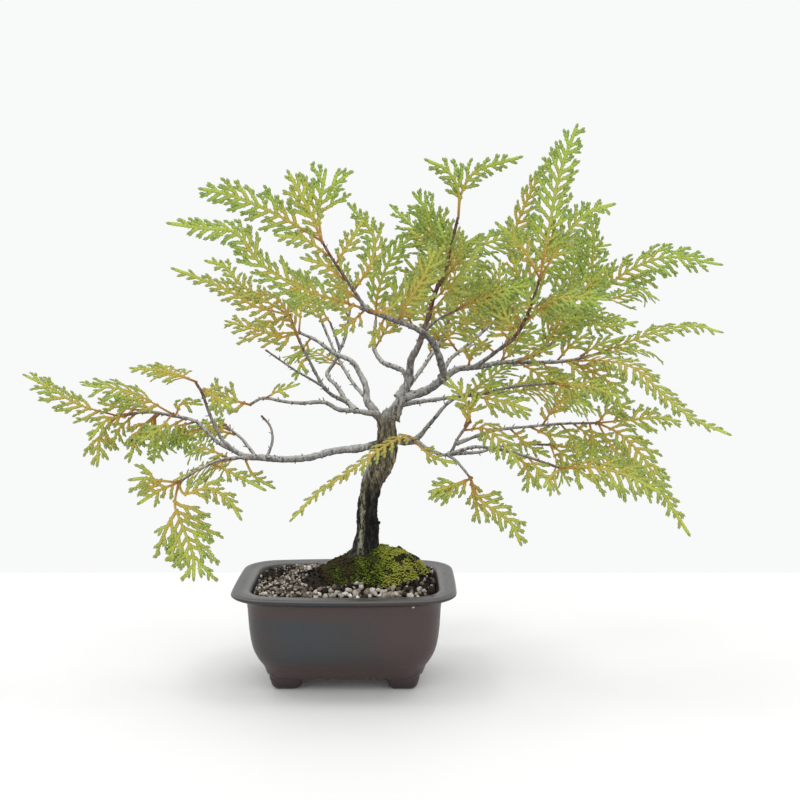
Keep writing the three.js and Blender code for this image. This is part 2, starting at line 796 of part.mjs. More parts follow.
        reach: 12, tilt: 40,
      },
      { way: [[136, -4, 168], [145, -9, 160], [149, -12, 149]], reach: 17, tilt: 15 },
    ],
  },
  right_upper: {
    limb: "right", at: 0.42,
    fronds: [{ way: [[90, -10, 186], [98, -20, 197]], reach: 18, tilt: 30, turn: -30 }],
  },
  right_under: {
    limb: "right", at: 0.56,
    fronds: [{ way: [[106, -6, 167], [117, -14, 163]], reach: 15, tilt: 30 }],
  },
  skirt_right: {
    limb: "low_right_long", at: 1,
    fronds: [
      { way: [[149, -14, 135], [159, -25, 124], [167, -32, 108], [180, -36, 87]], reach: 14, tilt: 15 },
      { way: [[156, 4, 141], [172, 8, 142], [184, 10, 140]], reach: 15, tilt: 35 },
      { way: [[148, 10, 126], [162, 20, 112], [172, 26, 97]], reach: 15, tilt: 15 },
    ],
  },
  skirt_fore: {
    limb: "low_right_fore", at: 1,
    fronds: [
      { way: [[126, -50, 122], [143, -54, 117], [159, -56, 107]], reach: 18, tilt: 35 },
      { way: [[105, -52, 118], [101, -58, 114]], reach: 13, tilt: 15 },
    ],
  },
  brown_rise: {
    limb: "low_right_long", at: 0.62,
    fronds: [
      { way: [[111, -12, 147], [116, -16, 153], [127, -22, 160]], reach: 12, tilt: 0, turn: 20 },
    ],
  },
  near_drop: {
    limb: "low_right_run", at: 0.9,
    fronds: [
      {
        way: [[75, -26, 140], [82, -34, 135], [89, -42, 127], [91, -48, 123]],
        reach: 15, tilt: 25, turn: 25,
      },
    ],
  },
  near_rise: {
    limb: "low_right_run", at: 1,
    fronds: [{ way: [[64, -26, 155], [56, -30, 166]], reach: 15, tilt: 15, turn: -30 }],
  },
  near_middle: {
    limb: "low_right_rise", at: 0.5,
    fronds: [{ way: [[82, -28, 155], [96, -32, 151]], reach: 15, tilt: 20, turn: -25 }],
  },
  near_end: {
    limb: "low_right_rise", at: 1,
    fronds: [{ way: [[127, -33, 163], [143, -38, 158]], reach: 14, tilt: 45 }],
  },
  skirt_back: {
    limb: "low_right_back", at: 1,
    fronds: [
      { way: [[135, 36, 120], [155, 42, 112], [172, 46, 104]], reach: 20, tilt: 45, turn: 15 },
      { way: [[122, 38, 112], [130, 46, 98]], reach: 16, tilt: 20, turn: 30 },
    ],
  },
  hanging: {
    limb: "low_right_drop", at: 1,
    fronds: [
      { way: [[72, -30, 103], [82, -32, 96], [89, -34, 90], [93, -35, 81]], reach: 15, tilt: 0 },
      { way: [[56, -30, 110], [46, -34, 108]], reach: 14, tilt: 15 },
    ],
  },
  across_trunk: {
    limb: "low_right", at: 0.85,
    fronds: [
      {
        way: [[33, -24, 136], [22, -35, 132], [2, -46, 119], [-11, -50, 111], [-24, -54, 98]],
        reach: 9, tilt: 62,
      },
      { way: [[48, -20, 124], [59, -27, 122]], reach: 7, tilt: 20 },
    ],
  },
  back_right_end: {
    limb: "behind_right", at: 1,
    fronds: [{ way: [[115, 68, 152], [135, 76, 146], [152, 82, 138]], reach: 21, tilt: 50 }],
  },
  back_right_rise: {
    limb: "behind_right", at: 0.68,
    fronds: [{ way: [[84, 60, 160], [98, 72, 169]], reach: 19, tilt: 60 }],
  },
};

const curveOf = (way) => new THREE.CatmullRomCurve3(way.map(point), false, "catmullrom", 0.5);

// A tapered tube through a limb's way, with flat ends.
function tube(way, radiusAt, sides, rings) {
  const curve = curveOf(way);
  const sections = [];
  let across = new THREE.Vector3(1, 0, 0);
  for (let k = 0; k < rings; k++) {
    const share = k / (rings - 1);
    const centre = curve.getPointAt(share);
    const along = curve.getTangentAt(share);
    across = across.clone().addScaledVector(along, -across.dot(along)).normalize();
    const up = along.clone().cross(across);
    const section = [];
    for (let j = 0; j < sides; j++) {
      const angle = (j / sides) * 2 * Math.PI;
      const radius = radiusAt(share, angle);
      section.push(
        centre
          .clone()
          .addScaledVector(across, radius * Math.cos(angle))
          .addScaledVector(up, radius * Math.sin(angle)),
      );
    }
    sections.push(section);
  }
  return skin(sections);
}

const limbRadius = (limb, share) => THREE.MathUtils.lerp(limb.ends[0], limb.ends[1], Math.sqrt(share));

function limbSides(limb) {
  if (limb.ends[0] > 2.1) return 6;
  return limb.ends[0] > 1.6 ? 5 : 4;
}

function buildWood() {
  const radii = TRUNK.radii;
  const fluted = (share, angle) => {
    const k = Math.min(share * (radii.length - 1), radii.length - 1.001);
    const plain = THREE.MathUtils.lerp(radii[Math.floor(k)], radii[Math.floor(k) + 1], k % 1);
    const waves = FLUTES.map((f) => f.depth * Math.cos(f.count * angle + f.start + f.twist * share));
    return plain * (1 + waves[0] + waves[1]);
  };
  let wood = toSolid(tube(TRUNK.way, fluted, TRUNK_SIDES, TRUNK_RINGS));
  for (const limb of Object.values(LIMBS)) {
    const radiusAt = (share) => limbRadius(limb, share);
    wood = wood.add(toSolid(tube(limb.way, radiusAt, limbSides(limb), limb.way.length)));
  }
  return wood;
}

// A frond's flat outline, anticlockwise, with the triangles that fill it: two to each leaflet, and a strip
// between the rachis's two edges. In each point s runs along the rachis and b to either side.
function outlineOf(length, reach, bare, draw) {
  const half = (s) => THREE.MathUtils.lerp(RACHIS_HALF_BASE, RACHIS_HALF_TIP, Math.min(s / length, 1));
  const shape = (u) => Math.min(1, 0.5 + 1.6 * u) * (1 - 0.72 * u ** 2.2);
  const corners = ({ s, angle, size }, side) => {
    const cos = Math.cos(angle);
    const sin = Math.sin(angle);
    const rachis = half(s);
    const foot = (way) => {
      const t = (rachis - way * LEAFLET_HALF_BASE * cos) / sin;
      return [s - way * LEAFLET_HALF_BASE * sin + t * cos, side * rachis];
    };
    const tip = (way) => [
      s + size * cos - way * LEAFLET_HALF_TIP * sin,
      side * (size * sin + way * LEAFLET_HALF_TIP * cos),
    ];
    return [foot(1), tip(1), tip(-1), foot(-1)];
  };
  const rowOf = (side) => {
    const row = [[0, side * STALK_HALF]];
    let s = side > 0 ? bare : bare + LEAFLET_PITCH / 2;
    while (s < length - LAST_LEAFLET) {
      const u = s / length;
      const lean = THREE.MathUtils.lerp(ANGLE_AT_BASE, ANGLE_AT_TIP, u) + ANGLE_SPREAD * (draw() - 0.5);
      const size = Math.max(LEAST_LEAFLET, reach * shape(u) * (LEAST_SIZE + SIZE_SPREAD * draw()));
      row.push(...corners({ s, angle: degrees(lean), size }, side));
      s += LEAFLET_PITCH * (LEAST_PITCH + PITCH_SPREAD * draw());
    }
    row.push([length + RACHIS_PAST_END, side * RACHIS_HALF_TIP]);
    return row;
  };
  const upper = rowOf(1);
  const lower = rowOf(-1);
  const points = [...lower, ...upper.toReversed()];
  const faces = [];
  const leafletAt = (a) => faces.push([a, a + 1, a + 2], [a, a + 2, a + 3]);
  for (let k = 1; k + 4 < lower.length; k += 4) leafletAt(k);
  for (let k = 1; k + 4 < upper.length; k += 4) leafletAt(lower.length + k);
  const onRachis = (_, k) => k % 4 < 2;
  const below = lower.map((_, k) => k).filter(onRachis);
  const above = upper.map((_, k) => points.length - 1 - k).filter(onRachis);
  let i = 0;
  let j = 0;
  while (i + 1 < below.length || j + 1 < above.length) {
    const nextBelow = points[below[i + 1]]?.[0] ?? Infinity;
    const nextAbove = points[above[j + 1]]?.[0] ?? Infinity;
    if (nextBelow <= nextAbove) faces.push([below[i], below[++i], above[j]]);
    else faces.push([below[i], above[j + 1], above[j++]]);
  }
  return { points, faces };
}

const faceOf = ({ tilt, turn = 0 }) =>
  new THREE.Vector3(0, -1, 0)
    .applyAxisAngle(new THREE.Vector3(1, 0, 0), degrees(-tilt))
    .applyAxisAngle(new THREE.Vector3(0, 0, 1), degrees(turn));

// The frond's blade: its outline laid along the rachis curve, arched down to both sides.
function blade(curve, face, outline) {
  const { points } = outline;
  const length = curve.getLength();
  const place = ([s, b], lift) => {
    const share = THREE.MathUtils.clamp(s / length, 0, 1);
    const along = curve.getTangentAt(share);
    const normal = face.clone().addScaledVector(along, -face.dot(along)).normalize();
    const side = normal.clone().cross(along);
    return curve
      .getPointAt(share)
      .addScaledVector(along, s - share * length)
      .addScaledVector(side, b)
      .addScaledVector(normal, lift - BLADE_ARCH * b * b);
  };
  const count = points.length;
  const positions = [BLADE / 2, -BLADE / 2]
    .flatMap((lift) => points.map((p) => place(p, lift)))
    .flatMap((p) => [p.x, p.y, p.z]);
  const faces = [];
  for (const [a, b, c] of outline.faces) {
    faces.push(a, b, c);
    faces.push(a + count, c + count, b + count);
  }
  for (let j = 0; j < count; j++) {
    const k = (j + 1) % count;
    faces.push(j, j + count, k + count, j, k + count, k);
  }
  return indexed(positions, faces);
}

// The point just off its limb where a spray begins.
function seatOf({ limb, at, fronds }) {
  const { way } = LIMBS[limb];
  const curve = curveOf(way);
  const centre = curve.getPointAt(at);
  const along = curve.getTangentAt(at);
  if (at === 1) return centre.addScaledVector(along, 2 * CLEARANCE);
  const out = point(fronds[0].way[0]).sub(centre);
  out.addScaledVector(along, -out.dot(along)).normalize();
  return centre.addScaledVector(out, limbRadius(LIMBS[limb], at) + 2 * CLEARANCE);
}

// A spray's fronds fused at their common seat, all bent by the same amount towards their faces.
function buildSpray(spray, seed, bend) {
  const seat = seatOf(spray);
  const draw = drawer(seed);
  const bare = spray.fronds.length > 1 ? BARE_FORK : BARE_STALK;
  let whole = null;
  for (const frond of spray.fronds) {
    const { way, reach } = frond;
    const face = faceOf(frond);
    const bent = way.map((p, i) => point(p).addScaledVector(face, (bend * (i + 1)) / way.length).toArray());
    const curve = curveOf([seat.toArray(), ...bent]);
    const outline = outlineOf(curve.getLength(), reach, bare, draw);
    const made = toSolid(blade(curve, face, outline));
    whole = whole ? whole.add(made) : made;
  }
  return whole;
}

const apart = (a, b) => {
  const p = a.boundingBox();
  const q = b.boundingBox();
  return [0, 1, 2].some((i) => p.min[i] > q.max[i] || q.min[i] > p.max[i]);
};
const clear = (a, b) => apart(a, b) || a.intersect(b).isEmpty();

const object = new THREE.Group();
const wood = buildWood();
const pot = buildPot();
object.add(meshOf("pot", pot, COLOUR.pot, 0.6));
object.add(meshOf("drain_net_left", buildNet(-DRAIN_OFFSET), COLOUR.net, 0.5));
object.add(meshOf("drain_net_right", buildNet(DRAIN_OFFSET), COLOUR.net, 0.5));
object.add(meshOf("soil", buildSoil(), COLOUR.soil, 0.95));
object.add(meshOf("moss", buildMoss(), COLOUR.moss, 0.95));
object.add(meshOf("wood", toGeometry(wood), COLOUR.wood, 0.85));

const placed = [wood, toSolid(pot)];
Object.entries(SPRAYS).forEach(([name, spray], k) => {
  let made = null;
  for (let turn = 0; turn <= MOST_BENDS; turn++) {
    const bend = BEND_STEP * Math.ceil(turn / 2) * (turn % 2 ? 1 : -1);
    made = buildSpray(spray, k + 1, bend);
    if (placed.every((other) => clear(made, other))) break;
  }
  placed.push(made);
  object.add(meshOf("spray_" + name, toGeometry(made), LEAF_COLOURS[k % LEAF_COLOURS.length], 0.7));
});

const box = new THREE.Box3().setFromObject(object);
const middle = box.getCenter(new THREE.Vector3());
object.position.set(-middle.x, -middle.y, -box.min.z);

export default object;
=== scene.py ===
# Hinoki cypress bonsai in a footed ceramic pot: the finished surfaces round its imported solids.
# Lengths here are millimetres about the pot's middle, as a maker would measure; heights are counted
# from a level a little above the table, so the feet end below it.

import math
from collections import namedtuple

import bpy
import numpy as np
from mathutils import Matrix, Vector, noise


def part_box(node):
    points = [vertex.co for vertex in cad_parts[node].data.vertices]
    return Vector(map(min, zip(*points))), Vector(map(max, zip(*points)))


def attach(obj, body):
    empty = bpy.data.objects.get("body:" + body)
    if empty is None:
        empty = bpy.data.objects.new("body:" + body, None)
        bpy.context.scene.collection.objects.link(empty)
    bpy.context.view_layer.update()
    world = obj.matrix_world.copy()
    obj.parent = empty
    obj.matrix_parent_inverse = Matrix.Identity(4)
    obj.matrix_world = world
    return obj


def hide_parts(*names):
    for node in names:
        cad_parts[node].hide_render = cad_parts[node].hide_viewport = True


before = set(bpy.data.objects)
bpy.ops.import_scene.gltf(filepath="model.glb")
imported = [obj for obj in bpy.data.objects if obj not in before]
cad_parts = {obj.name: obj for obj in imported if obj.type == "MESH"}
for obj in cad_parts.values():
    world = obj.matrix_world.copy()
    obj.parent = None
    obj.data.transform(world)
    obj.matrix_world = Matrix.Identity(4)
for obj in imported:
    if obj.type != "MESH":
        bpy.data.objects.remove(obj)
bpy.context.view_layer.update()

# Camera: it stands in front of the pot, level with the crown, and tips down a little, so the soil
# shows inside the rim. Its place and angle come from the pot's rim, step and feet.
MM = 0.001
FEET_END = -2.4
pot_low, pot_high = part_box("pot")
POT_MIDDLE = np.array([(pot_low.x + pot_high.x) / 2, (pot_low.y + pot_high.y) / 2, -FEET_END * MM])
CAMERA_AT = (30, -620, 214)
CAMERA_DIP = 5.65
CAMERA_ANGLE = 38.75


def metres(points):
    """Points in millimetres about the pot's middle, as the frame's metres."""
    return np.asarray(points, float) * MM + POT_MIDDLE


camera = bpy.data.objects.new("camera", bpy.data.cameras.new("camera"))
bpy.context.scene.collection.objects.link(camera)
camera.location = metres(CAMERA_AT)
camera.rotation_euler = (math.radians(90 - CAMERA_DIP), 0, 0)
camera.data.angle = math.radians(CAMERA_ANGLE)
camera.data.clip_start = 0.01
bpy.context.scene.camera = camera

# Table and light: a pale matt table top that ends behind the pot, a bright pale room round it, and
# two large soft lamps, high on the left and high on the right, that look at the trunk.
TABLE_BACK = 230
TABLE_FRONT = -1500
TABLE_HALF_WIDTH = 1800
TABLE_COLOUR = (0.95, 0.95, 0.945, 1)
ROOM_COLOUR = (0.97, 0.975, 0.975, 1)
ROOM_BRIGHTNESS = 0.97
LAMPS = {"left_lamp": (-430, -60, 1100), "right_lamp": (480, -20, 1100)}
LAMP_SIZE = 260
LAMP_WATTS = 1.6
LAMP_AIM = (0, 0, 120)


def linear(code):
    """A colour written as on a paint chart, #rrggbb, as the shader's linear values."""
    parts = [int(code[i : i + 2], 16) / 255 for i in (1, 3, 5)]
    return tuple(((c + 0.055) / 1.055) ** 2.4 if c > 0.04 else c / 12.92 for c in parts) + (1.0,)


def only(piece):
    """Makes one object the selected and the active one."""
    bpy.ops.object.select_all(action="DESELECT")
    piece.select_set(True)
    bpy.context.view_layer.objects.active = piece


bpy.ops.object.select_all(action="DESELECT")
bpy.ops.mesh.primitive_plane_add(size=1)
table_top = bpy.context.object
table_top.name = "table_top"
table_top.scale = (2 * TABLE_HALF_WIDTH * MM, (TABLE_BACK - TABLE_FRONT) * MM, 1)
table_top.location = metres((0, (TABLE_BACK + TABLE_FRONT) / 2, FEET_END))
table_paint = bpy.data.materials.new("table paint")
table_paint.use_nodes = True
table_shader = table_paint.node_tree.nodes["Principled BSDF"]
table_shader.inputs["Base Color"].default_value = TABLE_COLOUR
table_shader.inputs["Roughness"].default_value = 0.6
table_top.data.materials.append(table_paint)

room = bpy.data.worlds.new("room")
room.use_nodes = True
room.node_tree.nodes["Background"].inputs["Color"].default_value = ROOM_COLOUR
room.node_tree.nodes["Background"].inputs["Strength"].default_value = ROOM_BRIGHTNESS
bpy.context.scene.world = room
for name, place in LAMPS.items():
    light = bpy.data.lights.new(name, "AREA")
    light.size = LAMP_SIZE * MM
    light.energy = LAMP_WATTS
    holder = bpy.data.objects.new(name, light)
    bpy.context.scene.collection.objects.link(holder)
    holder.location = metres(place)
    aim = Vector(metres(LAMP_AIM)) - holder.location
    holder.rotation_euler = aim.to_track_quat("-Z", "Y").to_euler()
bpy.context.scene.view_settings.view_transform = "Standard"

# Pot: a rectangular bowl of dark unglazed clay, pressed in a mould, with bowed sides, round corners,
# a flat out-turned rim, a step low down, four short feet and two drain holes through the floor.
RIM_HALF = 60
RIM_CORNER = 16
FRONT_BOW = 5.5
END_BOW = 0.9
BOW_FROM = 38
LEAST_BOW = 0.2
DEPTH_LESS = 15
CORNER_POINTS = 9
SIDE_POINTS = 9
UNDERSIDE = (41.4, 4)
POT_LEVELS = (
    (42.4, 4.6), (43.9, 10.6), (45.2, 11.6), (47.8, 16.2), (49.8, 21.4), (51, 30), (51.5, 38),
    (51.8, 46.6), (53.4, 48.4), (57, 49.4), (59.5, 50.4), (60, 51.6), (59.2, 52.8), (57.8, 53),
    (51.6, 52.7), (50.4, 52), (49, 49.6), (47.8, 45), (44.6, 22), (40.8, 11.4), (38, 9),
)
FOOT_HALF = (7.4, 6.2)
FOOT_AT = (31.5, 17.5)
FOOT_FLARE = 2.4
FOOT_TOP = 7
FOOT_ROUNDING = 3
DRAIN_RADIUS = 5
DRAIN_AT = 21
DRAIN_SIDES = 28


class Strand:
    """A value on its way through a material's nodes, so that shading is written as arithmetic."""

    def __init__(self, tree, socket=None):
        self.tree = tree
        self.socket = socket

    def node(self, kind, settings=None, values=None, output=0):
        """Any node, with its settings and then the values or links of its sockets."""
        made = self.tree.nodes.new("ShaderNode" + kind)
        for name, value in (settings or {}).items():
            if name == "stops":
                ramp = made.color_ramp.elements
                while len(ramp) < len(value):
                    ramp.new(0.5)
                for element, (place, colour) in zip(ramp, value):
                    element.position = place
                    element.color = colour
            else:
                setattr(made, name, value)
        for name, value in (values or {}).items():
            if isinstance(value, Strand):
                self.tree.links.new(value.socket, made.inputs[name])
            else:
                made.inputs[name].default_value = value
        return Strand(self.tree, made.outputs[output])

    def maths(self, operation, first, second):
        return self.node("Math", {"operation": operation}, {0: first, 1: second})

    def __add__(self, other):
        return self.maths("ADD", self, other)

    def __radd__(self, other):
        return self.maths("ADD", other, self)

    def __sub__(self, other):
        return self.maths("SUBTRACT", self, other)

    def __rsub__(self, other):
        return self.maths("SUBTRACT", other, self)

    def __mul__(self, other):
        return self.maths("MULTIPLY", self, other)

    def __rmul__(self, other):
        return self.maths("MULTIPLY", other, self)

    def step(self, start, end):
        """0 at start and 1 at end, smooth between and level past them; start may be the higher."""
        values = {"Value": self, "From Min": start, "From Max": end}
        return self.node("MapRange", {"interpolation_type": "SMOOTHSTEP"}, values)

    def between(self, low, high):
        """A mix of two colours, or of a colour and another mix, by this share."""
        return self.node("Mix", {"data_type": "RGBA"}, {0: self, 6: low, 7: high}, 2)


class Finish:
    """A new material: its strands start here, and what it makes of them ends in its one shader."""

    def __init__(self, name, **constants):
        self.material = bpy.data.materials.new(name)
        self.material.use_nodes = True
        self.tree = self.material.node_tree
        self.shader = self.tree.nodes["Principled BSDF"]
        for socket, value in constants.items():
            self.shader.inputs[socket.replace("_", " ")].default_value = value
        self.strand = Strand(self.tree)

    def place(self):
        return self.strand.node("TexCoord", output="Object")

    def grain(self, size, detail=3.0, rough=0.55, along=None):
        """Cloudy variation whose blotches are about so many millimetres across."""
        vector = self.place() if along is None else along
        values = {"Vector": vector, "Scale": 1 / (size * MM), "Detail": detail, "Roughness": rough}
        return self.strand.node("TexNoise", None, values, "Fac")

    def axis(self, letter):
        """How far the surface lies along an axis, in millimetres from the pot's middle."""
        split = self.strand.node("SeparateXYZ", None, {0: self.place()}, letter.upper())
        return (split - float(POT_MIDDLE["xyz".index(letter)])) * (1 / MM)

    def label(self, name):
        """A number kept at each point of the mesh."""
        return self.strand.node("Attribute", {"attribute_name": name}, None, "Fac")

    def end(self, colour, roughness=None, relief=None, depth=0.1):
        self.tree.links.new(colour.socket, self.shader.inputs["Base Color"])
        if roughness is not None:
            self.tree.links.new(roughness.socket, self.shader.inputs["Roughness"])
        if relief is not None:
            values = {"Height": relief, "Distance": depth * MM, "Strength": 1.0}
            bump = self.strand.node("Bump", None, values)
            self.tree.links.new(bump.socket, self.shader.inputs["Normal"])
        return self.material


def bowing(half):
    """How far the sides bow out where the pot is so wide, as a share of the rim's bow."""
    return min(max((half - BOW_FROM) / (RIM_HALF - BOW_FROM), LEAST_BOW), 1)


def half_depth(half):
    """Half the depth at the corners where the pot's half width is so much."""
    return half - DEPTH_LESS - FRONT_BOW * bowing(half) / 2


def rim_plan():
    """The rim's outline about the middle: a rectangle with arcs at its corners, anticlockwise."""
    points = []
    straight = (RIM_HALF - RIM_CORNER, half_depth(RIM_HALF) - RIM_CORNER)
    for corner in range(4):
        sign_x, sign_y = ((1, 1), (-1, 1), (-1, -1), (1, -1))[corner]
        for i in range(CORNER_POINTS):
            angle = (corner + i / (CORNER_POINTS - 1)) * math.pi / 2
            x = sign_x * straight[0] + RIM_CORNER * math.cos(angle)
            points.append((x, sign_y * straight[1] + RIM_CORNER * math.sin(angle)))
        for i in range(1, SIDE_POINTS):
            share = 1 - 2 * i / SIDE_POINTS
            if corner % 2:
                points.append((sign_x * RIM_HALF, sign_y * straight[1] * share))
            else:
                points.append((sign_x * straight[0] * share, sign_y * half_depth(RIM_HALF)))
    return points


plan = rim_plan()
half, z = UNDERSIDE
shrink = (half / RIM_HALF, half_depth(half) / half_depth(RIM_HALF))
bpy.ops.object.select_all(action="DESELECT")
bpy.ops.mesh.primitive_circle_add(vertices=len(plan), radius=RIM_HALF * MM, fill_type="NGON")
pot = bpy.context.object
pot.name = "pot_body"
for vertex, (x, y) in zip(pot.data.vertices, plan):
    vertex.co = metres((x * shrink[0], y * shrink[1], z))
bpy.ops.object.mode_set(mode="EDIT")
bpy.ops.mesh.select_all(action="SELECT")
for next_half, next_z in POT_LEVELS:
    bpy.ops.mesh.extrude_region_move(TRANSFORM_OT_translate={"value": (0, 0, (next_z - z) * MM)})
    grow = (next_half / half, half_depth(next_half) / half_depth(half), 1)
    bpy.ops.transform.resize(value=grow, center_override=tuple(metres((0, 0, next_z))))
    half, z = next_half, next_z
bpy.ops.object.mode_set(mode="OBJECT")
level_halves = {round(z, 1): half for half, z in (UNDERSIDE,) + POT_LEVELS}
for vertex in pot.data.vertices:
    x, y, z = (np.array(vertex.co) - POT_MIDDLE) / MM
    half = level_halves[round(float(z), 1)]
    vertex.co.x += np.sign(x) * END_BOW * bowing(half) * (1 - (y / half_depth(half)) ** 2) * MM
    vertex.co.y += np.sign(y) * FRONT_BOW * bowing(half) * (1 - (x / half) ** 2) * MM
bpy.ops.object.mode_set(mode="EDIT")
bpy.ops.mesh.select_all(action="SELECT")
bpy.ops.mesh.normals_make_consistent(inside=False)
bpy.ops.object.mode_set(mode="OBJECT")
pot.modifiers.new("rounded", "SUBSURF").levels = 1
pot.modifiers["rounded"].render_levels = 1
bpy.ops.object.modifier_apply(modifier="rounded")


def joined(name, pieces):
    """Joins objects into the first of them, under a new name."""
    bpy.ops.object.select_all(action="DESELECT")
    for piece in pieces:
        piece.select_set(True)
    bpy.context.view_layer.objects.active = pieces[0]
    bpy.ops.object.join()
    pieces[0].name = name
    bpy.ops.object.transform_apply(location=True, rotation=True, scale=True)
    return pieces[0]


def foot(sign_x, sign_y):
    """One foot: a block that widens upwards into the pot's underside, with rounded edges."""
    bpy.ops.object.select_all(action="DESELECT")
    bpy.ops.mesh.primitive_cube_add(size=1)
    block = bpy.context.object
    block.scale = (2 * FOOT_HALF[0] * MM, 2 * FOOT_HALF[1] * MM, (FOOT_TOP - FEET_END) * MM)
    block.location = metres((sign_x * FOOT_AT[0], sign_y * FOOT_AT[1], (FOOT_TOP + FEET_END) / 2))
    bpy.ops.object.transform_apply(location=True, rotation=True, scale=True)
    for vertex in block.data.vertices:
        if vertex.co.z > POT_MIDDLE[2]:
            for i in (0, 1):
                side = vertex.co[i] - POT_MIDDLE[i] - (sign_x, sign_y)[i] * FOOT_AT[i] * MM
                vertex.co[i] += math.copysign(FOOT_FLARE * MM, side)
    bpy.ops.object.mode_set(mode="EDIT")
    bpy.ops.mesh.select_all(action="SELECT")
    bpy.ops.mesh.bevel(offset=FOOT_ROUNDING * MM, segments=4, profile=0.5)
    bpy.ops.object.mode_set(mode="OBJECT")
    return block


feet = joined("feet", [foot(x, y) for x in (-1, 1) for y in (-1, 1)])
for vertex in feet.data.vertices:
    vertex.co.z = max(vertex.co.z, 0)
drills = []
for x in (-DRAIN_AT, DRAIN_AT):
    bpy.ops.object.select_all(action="DESELECT")
    bpy.ops.mesh.primitive_cylinder_add(vertices=DRAIN_SIDES, radius=DRAIN_RADIUS * MM, depth=20 * MM)
    drills.append(bpy.context.object)
    drills[-1].location = metres((x, 0, UNDERSIDE[1] + 2))
drill = joined("drills", drills)
only(pot)
for cutter, operation in ((feet, "UNION"), (drill, "DIFFERENCE")):
    cut = pot.modifiers.new(operation.lower(), "BOOLEAN")
    cut.operation = operation
    cut.solver = "EXACT"
    cut.object = cutter
    bpy.ops.object.modifier_apply(modifier=cut.name)
    bpy.data.objects.remove(cutter)
bpy.ops.object.shade_smooth_by_angle(angle=math.radians(40))

clay = Finish("fired clay", Specular_IOR_Level=0.5)
blotch = clay.grain(26, 2)
speckle = clay.grain(2.2, 4, 0.7)
streak = clay.strand.node("Mapping", None, {"Vector": clay.place(), "Scale": (0.25, 0.25, 2.2)}, "Vector")
streak = clay.grain(12, 3, along=streak)
east = clay.axis("x")
height = clay.axis("z")
bluish = blotch.step(0.38, 0.63) * (east + blotch * 36).step(40, 0)
bluish = bluish * height.step(12, 22) * (height + (streak - 0.5) * 12).step(43, 36)
reddish = (east + blotch * 40).step(22, 54)
reddish = clay.strand.maths("MAXIMUM", reddish, (height + (streak - 0.5) * 14).step(19, 9))
reddish = clay.strand.maths("MAXIMUM", reddish, (height + (streak - 0.5) * 8).step(37, 42) * 0.8)
body = bluish.between(linear("#393535"), linear("#32383d"))
body = (reddish * 0.75).between(body, linear("#453431"))
body = speckle.step(0.5, 1.125).between(body, linear("#484140"))
# Painted shade: below about 7 mm the feet and the underside are painted darker, standing in for the shade
# under the pot.
body = (height.step(7, -2) * 0.6).between(body, linear("#1e1a1a"))
# The lip's outer face and the top of the inner wall are painted darker than the body: painted shade on the
# lip's side faces, over the clay's own tone, bluish on the left and brown on the right.
lip_tone_and_shade = (east + blotch * 30).step(0, 40).between(linear("#272a2e"), linear("#352e2d"))
body = (height + (streak - 0.5) * 0.8).step(47.6, 49.2).between(body, lip_tone_and_shade)
# Painted highlight: a light line along the rim's upper edge, on the outside and the inside.
body = height.step(51.8, 52.3).between(body, linear("#64615f"))
rim_colour = blotch.step(0.4, 0.65).between(linear("#434140"), linear("#3b3939"))
body = height.step(52.55, 52.85).between(body, rim_colour)
fleck = clay.strand.node("TexVoronoi", None, {"Vector": clay.place(), "Scale": 110.0}, "Distance")
body = (fleck.step(0.09, 0.05) * clay.grain(9, 2).step(0.63, 0.68)).between(body, linear("#c0b4a6"))
sheen = 0.4 + (speckle - 0.5) * 0.35 - height.step(50.5, 52.8) * 0.05
relief = speckle + clay.grain(0.7, 3) * 0.5
pot.data.materials.clear()
pot.data.materials.append(clay.end(body, sheen, relief, 0.14))
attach(pot, "root")
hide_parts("pot")

# Drain nets: squares of black plastic net that keep the gravel in. They stay as cut, with a dull
# moulded finish.
net_plastic = Finish("net plastic", Specular_IOR_Level=0.4)
shade = net_plastic.grain(1.5, 2)
black = shade.between(linear("#1b1c1a"), linear("#30322d"))
net_material = net_plastic.end(black, shade * 0.3 + 0.4, shade, 0.05)
for side in ("left", "right"):
    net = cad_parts["drain_net_" + side]
    net.data.materials.clear()
    net.data.materials.append(net_material)

# Soil: dark peaty fines under a layer of loose gravel, heaped towards the trunk. The ground is the
# packed soil with a crumbly top, and lies a grain's depth lower so the gravel has its own room.
TRUNK_FOOT = (11, 0)
SOIL_EDGE = 51
SOIL_MOUND = 14.5
MOUND_SPREAD = 34
MOUND_FRONT = 1.45
MOUND_BACK = 1.15
MOUND_FALL = 1.4
BARE_ROUND_TRUNK = 8.5
CRUMB_HEIGHT = 0.7
GROUND_DROP = 0.9


def soil_height(x, y):
    """Height of the soil's surface over a place in the pot."""
    squeeze = np.where(np.less(y, TRUNK_FOOT[1]), MOUND_FRONT, MOUND_BACK)
    away = np.hypot(np.subtract(x, TRUNK_FOOT[0]), np.subtract(y, TRUNK_FOOT[1]) * squeeze) / MOUND_SPREAD
    return SOIL_EDGE + SOIL_MOUND * np.exp(-MOUND_FALL * away * away)


def copied(node, name):
    """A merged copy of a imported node's mesh, as a new piece."""
    piece = bpy.data.objects.new(name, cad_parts[node].data.copy())
    bpy.context.scene.collection.objects.link(piece)
    only(piece)
    bpy.ops.object.mode_set(mode="EDIT")
    bpy.ops.mesh.select_all(action="SELECT")
    bpy.ops.mesh.remove_doubles(threshold=1e-6)
    bpy.ops.mesh.select_all(action="DESELECT")
    bpy.ops.object.mode_set(mode="OBJECT")
    return piece


def refine(piece, chosen, cuts):
    """Subdivides the faces of a piece that a test of their centre, in millimetres, and normal picks."""
    for polygon in piece.data.polygons:
        centre = (np.array(polygon.center) - POT_MIDDLE) / MM
        polygon.select = bool(chosen(centre, polygon.normal))
    bpy.ops.object.mode_set(mode="EDIT")
    bpy.ops.mesh.subdivide(number_cuts=cuts)
    bpy.ops.mesh.select_all(action="SELECT")
    bpy.ops.mesh.quads_convert_to_tris()
    bpy.ops.object.mode_set(mode="OBJECT")


